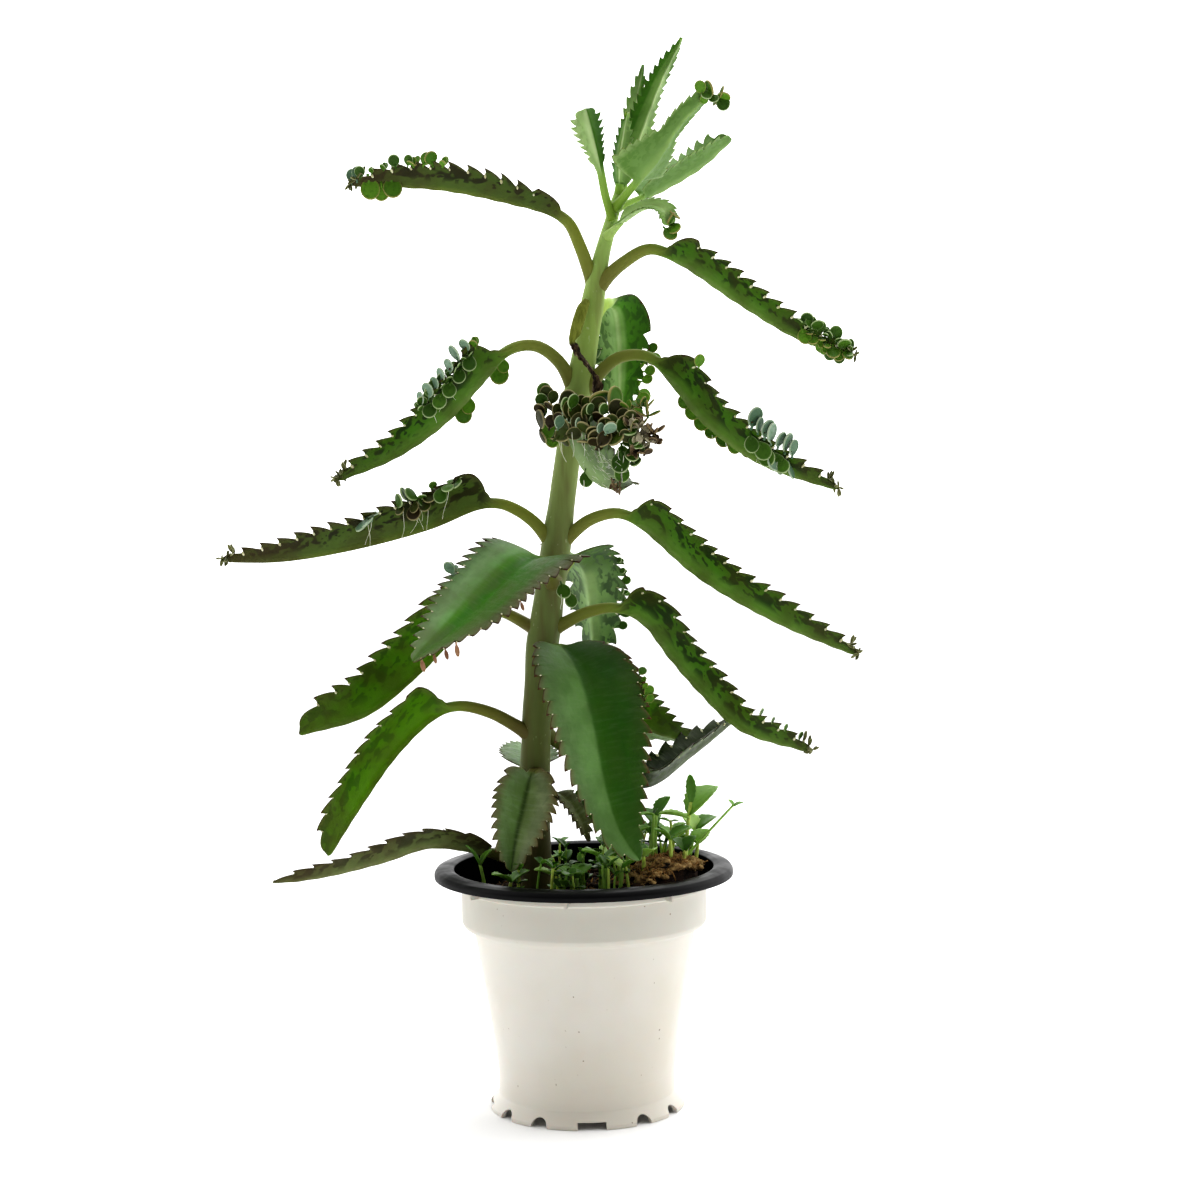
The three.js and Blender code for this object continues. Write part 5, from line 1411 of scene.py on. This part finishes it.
def turnedPiece(name, profile):
    # A circle, extruded ring by ring along the profile, and closed at the axis
    centre = Vector(metres((0, 0, 0)))
    rings = rounded(profile)[1:-1]
    radius, height = rings[0]
    bpy.ops.mesh.primitive_circle_add(vertices=potForm["segments"], radius=radius * mm,
                                      fill_type="NGON", location=centre + Vector((0, 0, height * mm)))
    piece = bpy.context.object
    bpy.ops.object.transform_apply(location=True, rotation=True, scale=True)
    bpy.ops.object.mode_set(mode="EDIT")
    bpy.ops.mesh.select_mode(type="EDGE")
    for nextRadius, nextHeight in rings[1:]:
        rise = (0, 0, (nextHeight - height) * mm)
        bpy.ops.mesh.extrude_edges_move(TRANSFORM_OT_translate={"value": rise})
        growth = nextRadius / radius
        bpy.ops.transform.resize(value=(growth, growth, 1), center_override=centre)
        radius, height = nextRadius, nextHeight
    bpy.ops.mesh.edge_face_add()
    bpy.ops.mesh.select_all(action="SELECT")
    bpy.ops.mesh.normals_make_consistent(inside=False)
    bpy.ops.object.mode_set(mode="OBJECT")
    piece.name = name
    return piece


def around(radius, turn, height):
    angle = math.radians(turn)
    return (radius * math.cos(angle), radius * math.sin(angle), height)


def addBlock(reach, turn, height, size):
    # A box that stands square to a radius of the pot; size is along the radius, across it and up
    bpy.ops.mesh.primitive_cube_add(size=1, location=Vector(metres(around(reach, turn, height))),
                                    rotation=(0, 0, math.radians(turn)),
                                    scale=[side * mm for side in size])
    bpy.ops.object.transform_apply(location=True, rotation=True, scale=True)
    return bpy.context.object


def addRod(reach, turn, height, radius, length, lying):
    # A round rod, upright or lying along a radius
    tilt = (0, math.pi / 2, math.radians(turn)) if lying else (0, 0, 0)
    bpy.ops.mesh.primitive_cylinder_add(vertices=32, radius=radius * mm, depth=length * mm,
                                        location=Vector(metres(around(reach, turn, height))),
                                        rotation=tilt)
    bpy.ops.object.transform_apply(location=True, rotation=True, scale=True)
    return bpy.context.object


def cutAway(piece, tools):
    cutter = joinPieces(tools, "cutter")
    selectOnly([piece])
    cut = piece.modifiers.new("cut", "BOOLEAN")
    cut.object = cutter
    cut.solver = "EXACT"
    cut.use_self = True
    bpy.ops.object.modifier_apply(modifier="cut")
    bpy.data.objects.remove(cutter)


def shadeEdges(piece):
    selectOnly([piece])
    bpy.ops.object.shade_smooth_by_angle(angle=math.radians(32))


def drainTools():
    reach, first, radius = potForm["drainReach"], potForm["drainTurn"], potForm["drainRadius"]
    return [addRod(reach, first + quarter * 90, 6, radius, 6, False) for quarter in range(4)]


def makePotWall():
    wall = turnedPiece("fine_pot_wall", wallProfile())
    tools = drainTools()
    for quarter in range(4):
        turn = potForm["notchTurn"] + quarter * 90
        reach = potForm["foot"] - 0.7
        tools.append(addBlock(reach, turn, 0.4, (4.8, 9.6, 4.2)))
        tools += [addRod(reach, turn + offset, 0.2, 3.1, 4.8, True) for offset in (32, 58)]
    cutAway(wall, tools)
    gussets = []
    for step in range(potForm["gussets"]):
        turn = potForm["gussetTurn"] + step * 360 / potForm["gussets"]
        reach, height = potForm["flange"] + 1.2, potForm["flangeFoot"] + 1.05
        gussets.append(addBlock(reach, turn, height, (3.4, 0.8, 2.1)))
    wall = joinPieces([wall] + gussets, "fine_pot_wall")
    shadeEdges(wall)
    dress(wall, whiteMaterial(), "white_plastic", "pot_wall")


def makePotLining():
    lining = turnedPiece("fine_pot_lining", liningProfile())
    cutAway(lining, drainTools())
    shadeEdges(lining)
    dress(lining, blackMaterial(), "black_plastic", "pot_lining")


def whiteMaterial():
    material, tree, shader = newMaterial("white_plastic", 0.4, 0.35)
    place = objectPlace(tree)
    cloudy = noisePattern(tree, place, 22, 3)
    colour = mixColour(tree, remap(tree, cloudy, 0.35, 0.7), tone("#d9d5cc"), tone("#d3cdc0"))
    smears = noisePattern(tree, place, 60, 4, (1, 1, 0.25), 0.7)
    colour = mixColour(tree, remap(tree, smears, 0.58, 0.8, 0, 0.35), colour, tone("#d3ccbe"))
    # Painted shade: from just below the ledge up to the lip the wall is painted greyer, where the lip
    # overhangs it
    low, high = [height * mm for height in potForm["lipShadowHeights"]]
    band = remap(tree, parts(tree, place)[2], low, high, 0, 0.55)
    colour = mixColour(tree, band, colour, tone("#b4b2a6"))
    # A few specks of dust and soil
    dust = noisePattern(tree, place, 520, 1)
    colour = mixColour(tree, remap(tree, dust, 0.775, 0.8, 0, 0.8), colour, tone("#8a7a62"))
    tree.links.new(colour, shader.inputs["Base Color"])
    rough = remap(tree, smears, 0.3, 0.75, 0.32, 0.52)
    tree.links.new(rough, shader.inputs["Roughness"])
    bump(tree, shader, cloudy, 0.12, 0.4)
    shader.inputs["Subsurface Weight"].default_value = 0.15
    shader.inputs["Subsurface Scale"].default_value = 1.5 * mm
    return material


def blackMaterial():
    material, tree, shader = newMaterial("black_plastic", 0.4, 0.18)
    place = objectPlace(tree)
    grain = noisePattern(tree, place, 420, 3)
    dusty = noisePattern(tree, place, 45, 4, roughness=0.65)
    colour = mixColour(tree, remap(tree, dusty, 0.55, 0.85, 0, 0.4), tone("#050506"), tone("#141210"))
    centred = tree.nodes.new("ShaderNodeVectorMath")
    centred.operation = "SUBTRACT"
    feed(tree, centred.inputs[0], place)
    centred.inputs[1].default_value = potAxis
    x, y, z = parts(tree, centred.outputs[0])
    squares = maths(tree, "ADD", maths(tree, "MULTIPLY", x, x), maths(tree, "MULTIPLY", y, y))
    # Painted shade: inside the mouth the lining is painted near black and loses its gloss, where the
    # inner slope lies in shade
    outer, inner = [radius * mm for radius in potForm["mouthShadeRadii"]]
    inside = remap(tree, maths(tree, "SQRT", squares), outer, inner)
    colour = mixColour(tree, inside, colour, tone("#020202"))
    sheen = maths(tree, "MULTIPLY", maths(tree, "SUBTRACT", 1, inside), 0.12)
    tree.links.new(sheen, shader.inputs["Specular IOR Level"])
    tree.links.new(colour, shader.inputs["Base Color"])
    tree.links.new(remap(tree, dusty, 0.3, 0.75, 0.28, 0.55), shader.inputs["Roughness"])
    bump(tree, shader, grain, 0.15, 0.15)
    return material


makePotWall()
makePotLining()
print("pot made")


# The peat: a lumpy surface, crumbs and bark on it, and golden fibres
soilForm = {
    "topRadius": 38.9,
    "rings": 40,
    "around": 110,
    "sides": [(38.9, 66.1), (35, 61.4), (32, 44), (29.4, 28), (27.4, 13), (27.2, 7.8)],
    "heaps": [(9, 30, -6, 420), (7, 25, -25, 190)],     # height, x, y and spread
    "crumbs": 1500,
    "crumbReach": 38,
    "heapCrumbs": 1000,
    "heapPlace": ((30, 7), (-16, 11)),              # x and y, each with its spread
    "heapReach": 40.5,
    "fibres": 420,
}


def soilHeight(x, y):
    heaps = [height * np.exp(-((x - east) ** 2 + (y - north) ** 2) / spread)
             for height, east, north, spread in soilForm["heaps"]]
    slope = 73.5 + 0.045 * x - 0.03 * y
    lumps = 0.9 * np.sin(x * 0.55 + 1.3) * np.cos(y * 0.6) + 0.6 * np.sin(x * 1.3 - y * 0.9)
    return slope + sum(heaps) + lumps


def peatMaterial(name, dark, light, gold):
    material, tree, shader = newMaterial(name, 0.95, 0.15)
    place = objectPlace(tree)
    lumps = noisePattern(tree, place, 260, 4, roughness=0.7)
    grit = noisePattern(tree, place, 1500, 3, roughness=0.7)
    colour = mixColour(tree, remap(tree, lumps, 0.35, 0.7), tone(dark), tone(light))
    colour = mixColour(tree, remap(tree, grit, 0.6, 0.75, 0, 0.7), colour, tone(gold))
    tree.links.new(colour, shader.inputs["Base Color"])
    bump(tree, shader, grit, 0.8, 0.5)
    return material


def crumbTemplate(name, seed, shape):
    bpy.ops.mesh.primitive_ico_sphere_add(subdivisions=2, radius=1)
    crumb = bpy.context.object
    crumb.name = name
    for vertex in crumb.data.vertices:
        rough = 1 + 0.45 * noise.noise(vertex.co * 1.9 + Vector((seed, 0, 0)))
        vertex.co = Vector([c * s for c, s in zip(vertex.co * rough, shape)]) * mm
    bpy.ops.object.shade_smooth()
    return crumb


def makeSoil():
    turns = np.linspace(0, 2 * math.pi, soilForm["around"] + 1)
    radii = np.linspace(0, soilForm["topRadius"], soilForm["rings"] + 1)
    x = radii[:, None] * np.cos(turns)
    y = radii[:, None] * np.sin(turns)
    z = soilHeight(x, y)
    for place in np.ndindex(z.shape):
        spot = Vector((x[place], y[place], 0))
        z[place] += 1.1 * noise.noise(spot * 0.22) + 0.9 * noise.noise(spot * 0.6)
    z[:, -1] = z[:, 0]
    rows = [np.stack([x, y, z], -1)]
    for radius, height in soilForm["sides"] + [(0, soilForm["sides"][-1][1])]:
        ring = [radius * np.cos(turns), radius * np.sin(turns), np.full(len(turns), height)]
        rows.append(np.stack(ring, -1)[None])
    piece = gridPiece("fine_soil", metres(np.concatenate(rows)))
    dress(piece, peatMaterial("peat", "#1c1410", "#3a281b", "#6b4a28"), "peat", "soil")


def onSoil(chance):
    radius = soilForm["crumbReach"] * math.sqrt(chance.random())
    turn = chance.uniform(0, 2 * math.pi)
    return radius * math.cos(turn), radius * math.sin(turn)


def onHeap(chance):
    while True:
        x, y = [chance.gauss(*place) for place in soilForm["heapPlace"]]
        if math.hypot(x, y) < soilForm["heapReach"]:
            return x, y


def scatterCrumbs():
    chance = random.Random(31)
    kinds = [crumbTemplate("crumb", 2.0, (1, 0.85, 0.7)), crumbTemplate("bark", 7.0, (1.5, 0.7, 0.4)),
             crumbTemplate("chip", 11.0, (1, 1, 0.35))]
    dark = peatMaterial("crumb_dark", "#17100c", "#3c2a1c", "#5f4326")
    gold = peatMaterial("crumb_gold", "#6a5230", "#ac9060", "#e0c890")
    for name, count, choose, material in (("crumbs_dark", soilForm["crumbs"], onSoil, dark),
                                          ("crumbs_gold", soilForm["heapCrumbs"], onHeap, gold)):
        groups = {}
        for _ in range(count):
            x, y = choose(chance)
            size = chance.choice((0.5, 0.7, 0.9, 1.2, 1.7)) * chance.uniform(0.7, 1.2)
            height = soilHeight(x, y) + size * 0.3
            facing = (chance.uniform(-0.6, 0.6), chance.uniform(-0.6, 0.6), 1)
            turn = chance.uniform(0, 2 * math.pi)
            outward = (math.cos(turn), math.sin(turn), chance.uniform(-0.3, 0.3))
            kind = chance.choice(kinds)
            groups.setdefault(kind, []).append(placing((x, y, height), outward, facing, size))
        pieces = [copyTemplate(kind, placings, "crumbs") for kind, placings in groups.items()]
        dress(joinPieces(pieces, name), material, "peat")
    for kind in kinds:
        bpy.data.objects.remove(kind)


def scatterFibres():
    chance = random.Random(12)
    threads = []
    for index in range(soilForm["fibres"]):
        x, y = onHeap(chance) if index % 3 else onSoil(chance)
        turn = chance.uniform(0, 2 * math.pi)
        length = chance.uniform(2.5, 7)
        bend = chance.uniform(-1.5, 1.5)
        line = []
        for share in np.linspace(-0.5, 0.5, 6):
            step = np.array([math.cos(turn), math.sin(turn)]) * share * length
            side = np.array([-math.sin(turn), math.cos(turn)]) * bend * (share ** 2 * 4 - 0.5)
            px, py = np.array([x, y]) + step + side
            line.append((px, py, soilHeight(px, py) + 0.9 + chance.uniform(-0.2, 1.5)))
        threads.append(threadPiece(line, chance.uniform(0.12, 0.3), 4))
    piece = joinPieces(threads, "peat_fibres")
    dress(piece, peatMaterial("fibre", "#7a5c34", "#ac8450", "#dcbc80"), "peat")


makeSoil()
scatterCrumbs()
scatterFibres()
print("soil made")


# Sprouts: fallen plantlets that have rooted. Each row is the foot's x and y, the height of the
# stalk above the peat, its lean in x and y, and its leaves as height share, direction in
# degrees, length, width and rise in degrees.
sprouts = [
    {"foot": (25, -5), "height": 17, "lean": (0, 1),
     "leaves": [(0.8, 140, 9, 7, 45), (1, 40, 9, 6, 50)]},
    {"foot": (34.5, -10), "height": 20, "lean": (2, 0),
     "leaves": [(0.75, 182, 11, 5, 12), (1, 95, 10, 3.4, 82), (0.8, 38, 15, 12, 40)]},
    {"foot": (36, 4), "height": 13, "lean": (2.5, 1),
     "leaves": [(1, 35, 10, 9, 30), (1, 140, 8, 8, 50)]},
    {"foot": (29, -18), "height": 8, "lean": (0, 0), "leaves": [(1, 20, 9, 8, 30), (1, 200, 7, 6, 40)]},
    {"foot": (20, -24), "height": 6, "lean": (0, -1),
     "leaves": [(1, 300, 8, 6, 30), (1, 120, 7, 6, 35)]},
    {"foot": (-33, -8), "height": 12, "lean": (-2, 0),
     "leaves": [(1, 190, 9, 4, 60), (1, 20, 7, 4, 55)]},
    {"foot": (-24, -24), "height": 9, "lean": (0, 0),
     "leaves": [(1, 210, 8, 6, 30), (1, 30, 8, 6, 30)]},
    {"foot": (-9, -25), "height": 11, "lean": (0, -1),
     "leaves": [(1, 190, 8, 6, 25), (1, 10, 8, 6, 30)]},
    {"foot": (-2, -31), "height": 10, "lean": (0, -1),
     "leaves": [(1, 240, 8, 7, 20), (1, 60, 8, 7, 30)]},
    {"foot": (6, -24), "height": 13, "lean": (1, -1),
     "leaves": [(1, 200, 9, 7, 30), (1, 20, 9, 7, 25)]},
    {"foot": (12, -31), "height": 9, "lean": (1, -1),
     "leaves": [(1, 150, 8, 6, 25), (1, 330, 8, 6, 30)]},
    {"foot": (15, -15), "height": 12, "lean": (0, 0), "leaves": [(1, 180, 9, 7, 35), (1, 0, 9, 7, 35)]},
    {"foot": (6, 17), "height": 9, "lean": (0, 1), "leaves": [(1, 45, 8, 6, 30), (1, 225, 8, 6, 30)]},
    {"foot": (-22, 20), "height": 8, "lean": (-0.5, 0.5),
     "leaves": [(1, 130, 8, 6, 30), (1, 310, 8, 6, 30)]},
]

# More of them that have no node of their own: the first is thin and leans out over the lip
moreSprouts = [
    {"foot": (33, -8), "height": 19, "lean": (18, 0), "radius": 0.5,
     "leaves": [(1, 20, 4, 2.6, 20), (1, 150, 3.2, 2.2, 50)]},
    {"foot": (30, -2), "height": 8, "leaves": [(1, 20, 8, 7, 35), (1, 160, 7, 6, 45)]},
    {"foot": (38, -2), "height": 7, "leaves": [(1, 60, 7, 7, 45), (1, 190, 7, 6, 30)]},
    {"foot": (28, 8), "height": 12, "leaves": [(1, 10, 8, 6, 35), (1, 170, 8, 6, 40)]},
    {"foot": (22, 2), "height": 11, "leaves": [(1, 30, 8, 5, 60), (1, 170, 8, 5, 50)]},
    {"foot": (33, -14), "height": 5, "leaves": [(1, 40, 7, 6, 50), (1, 150, 7, 6, 45)]},
]

sproutForm = {
    "stalkRadius": 0.75,
    "leafRows": 13,
    "leafHalf": 5,
    "thickness": 0.11,
    "extra": 80,
    "extraHeight": (7, 16),
    "extraLength": (2.6, 5.6),
    "front": ((-26, 32), (-37, -16)),
    "right": ((16, 38), (-22, 12)),
    "back": ((-34, 34), (4, 35)),
    "reach": 37,
    "clear": [(-16, 0, 8), (26, -24, 13)],  # x, y and radius of where none stand
}


def sproutLeafTemplate():
    # A small oval blade with a hollow middle, shallow teeth and a thick rib, one long and one wide
    u = np.linspace(0, 1, sproutForm["leafRows"])[:, None]
    turnShare, upper = roundSection(sproutForm["leafHalf"])
    side = np.sin(turnShare * math.pi / 2)
    outline = np.sin(math.pi * u ** 1.15) ** 0.6 * 0.5 + 0.05 * (1 - u)
    outline = outline * (1 - 0.07 * np.abs(side) ** 3 * np.cos(u * 12 * math.pi))
    cup = 0.16 * np.abs(side) ** 1.5 * outline * 2 - 0.3 * (u - 0.35) ** 2 + 0.04
    body = np.sqrt(np.clip(1 - side ** 4, 0, 1)) * np.sin(math.pi * u ** 0.6) ** 0.5
    body = body * sproutForm["thickness"] / 2
    points = np.stack([u + 0 * side, side * outline, cup + upper * body], -1)
    return gridPiece("sprout_leaf", points * mm, {"rim": np.abs(side) + 0 * u})


def sproutPieces(template, sprout, chance):
    x, y = sprout["foot"]
    ground = soilHeight(x, y)
    lean = np.array([*sprout["lean"], sprout["height"]], float)
    bow = np.array([chance.uniform(-1, 1), chance.uniform(-1, 1), 0]) * sprout["height"] * 0.07
    shares = np.linspace(-0.3, 1, 9)[:, None]
    above = np.maximum(shares, 0)
    line = np.array([x, y, ground]) + lean * shares + bow * 4 * above * (1 - above)
    radius = sprout.get("radius", sproutForm["stalkRadius"])
    radii = radius * np.linspace(1.1, 0.75, len(line))
    stalk = gridPiece("stalk", metres(tubeGrid(line, radii, 8)))
    for name, value in (("rim", 0.0), ("tint", chance.uniform(0.7, 1))):
        addAttribute(stalk, name, np.full(len(stalk.data.vertices), value))
    placings = []
    for share, direction, length, width, rise in sprout["leaves"]:
        turn, tilt = math.radians(direction), math.radians(rise)
        outward = (math.cos(turn) * math.cos(tilt), math.sin(turn) * math.cos(tilt), math.sin(tilt))
        facing = (-math.cos(turn) * math.sin(tilt), -math.sin(turn) * math.sin(tilt), math.cos(tilt))
        origin = np.array([x, y, ground]) + lean * share - (0, 0, 0.6)
        placings.append(placing(origin, outward, facing, length, width, (length + width) / 2))
    tints = [chance.uniform(*sprout.get("tints", (0.3, 0.9))) for _ in placings]
    return [stalk, copyTemplate(template, placings, "blades", tints)]


def sproutMaterial():
    material, tree, shader = newMaterial("sprouts", 0.5, 0.3)
    tint = attribute(tree, "tint")
    flecks = noisePattern(tree, objectPlace(tree), 500, 3)
    colour = ramp(tree, tint, [(0, "#29460c"), (0.35, "#44701a"), (0.65, "#6c9a30"), (0.85, "#93b754"),
                               (1, "#b9c95c")])
    colour = mixColour(tree, remap(tree, flecks, 0.5, 0.8, 0, 0.5), colour, tone("#2f4c12"))
    rim = remap(tree, attribute(tree, "rim"), 0.8, 1, 0, 0.35)
    colour = mixColour(tree, rim, colour, tone("#8fa860"))
    tree.links.new(colour, shader.inputs["Base Color"])
    bump(tree, shader, flecks, 0.25, 0.2)
    fleshy(shader, 0.3, 0.9)
    return material


def smallSprouts(chance):
    # Younger ones between the others: most at the front and at the right. Their tints run darker, as
    # painted shade among the taller plants
    rows = []
    places = ["front", "front", "front", "right", "back"]
    for index in range(sproutForm["extra"]):
        x, y = [chance.uniform(*span) for span in sproutForm[places[index % len(places)]]]
        near = [math.hypot(x - east, y - north) < gap for east, north, gap in sproutForm["clear"]]
        if math.hypot(x, y) > sproutForm["reach"] or any(near):
            continue
        height = chance.uniform(*sproutForm["extraHeight"])
        turn = chance.uniform(0, 360)
        leaves = []
        for pair in range(chance.choice((1, 1, 2))):
            for half in (0, 180):
                length = chance.uniform(*sproutForm["extraLength"])
                direction = turn + half + 90 * pair + chance.uniform(-20, 20)
                width = length * chance.uniform(0.55, 0.85)
                leaves.append((1 - 0.35 * pair, direction, length, width, chance.uniform(5, 60)))
        lean = (chance.uniform(-2, 2), chance.uniform(-2, 2))
        rows.append({"foot": (x, y), "height": height, "lean": lean, "leaves": leaves,
                     "radius": chance.uniform(0.4, 0.65), "tints": (0.05, 0.6)})
    return rows + [{"lean": (1, 0), "tints": (0.3, 0.8), **row} for row in moreSprouts]


def makeSprouts():
    template = sproutLeafTemplate()
    material = sproutMaterial()
    chance = random.Random(4)
    for index, sprout in enumerate(sprouts, 1):
        piece = joinPieces(sproutPieces(template, sprout, chance), f"fine_sprout_{index:02d}")
        dress(piece, material, "sprout_green", f"sprout_{index:02d}")
    pieces = []
    for sprout in smallSprouts(chance):
        pieces += sproutPieces(template, sprout, chance)
    dress(joinPieces(pieces, "small_sprouts"), material, "sprout_green")
    bpy.data.objects.remove(template)


makeSprouts()
print("sprouts made")

# The room: a plain pale floor, soft light that is brightest from behind, and the camera
studio = {
    "cameraPlace": (6.9, -806, 229),
    "cameraTilt": 0.0688,
    "cameraRoll": -0.015,
    "lens": 71.46,
    "behind": 1.8,          # the light of the room behind the plant, before it and as it is seen
    "before": 0.27,
    "seen": 1.1,
    "lampPlace": (250, 250, 1100),
    "lampAim": (0, 0, 150),
    "lampPower": 6,
    "lampSize": 1200,
    "floorSize": 6000,
}


def makeFloor():
    size = studio["floorSize"] * mm
    bpy.ops.mesh.primitive_plane_add(size=size, location=Vector(metres((0, 0, -0.05))))
    floor = bpy.context.object
    floor.name = "floor"
    material, tree, shader = newMaterial("floor", 0.9, 0.0)
    grain = noisePattern(tree, objectPlace(tree), 8, 2)
    colour = mixColour(tree, remap(tree, grain, 0.3, 0.7), tone("#fafafa"), tone("#fdfdfd"))
    tree.links.new(colour, shader.inputs["Base Color"])
    floor.data.materials.append(material)


def makeLight():
    world = bpy.data.worlds.new("studio")
    bpy.context.scene.world = world
    world.use_nodes = True
    tree = world.node_tree
    background = tree.nodes["Background"]
    background.inputs["Color"].default_value = (1, 1, 1, 1)
    direction = parts(tree, tree.nodes.new("ShaderNodeTexCoord").outputs["Generated"])
    strength = remap(tree, direction[1], -0.75, 0.35, studio["before"], studio["behind"])
    toCamera = tree.nodes.new("ShaderNodeLightPath").outputs["Is Camera Ray"]
    shown = maths(tree, "MAXIMUM", strength, maths(tree, "MULTIPLY", toCamera, studio["seen"]))
    tree.links.new(shown, background.inputs["Strength"])
    lamp = bpy.data.lights.new("overhead", "AREA")
    lamp.energy = studio["lampPower"]
    lamp.size = studio["lampSize"] * mm
    overhead = bpy.data.objects.new("overhead", lamp)
    overhead.location = Vector(metres(studio["lampPlace"]))
    aim = Vector(metres(studio["lampAim"])) - overhead.location
    overhead.rotation_euler = aim.to_track_quat("-Z", "Y").to_euler()
    bpy.context.collection.objects.link(overhead)


def makeCamera():
    data = bpy.data.cameras.new("camera")
    data.lens = studio["lens"]
    data.sensor_width = 36
    data.clip_start = 0.01
    camera = bpy.data.objects.new("camera", data)
    tilt = Matrix.Rotation(math.pi / 2 - studio["cameraTilt"], 4, "X")
    roll = Matrix.Rotation(studio["cameraRoll"], 4, "Z")
    camera.matrix_world = Matrix.Translation(Vector(metres(studio["cameraPlace"]))) @ tilt @ roll
    bpy.context.collection.objects.link(camera)
    bpy.context.scene.camera = camera


makeFloor()
makeLight()
makeCamera()
for template in templates.values():
    bpy.data.objects.remove(template)
bpy.context.scene.view_settings.view_transform = "Standard"
bpy.context.scene.view_settings.look = "Medium High Contrast"
print("room made")
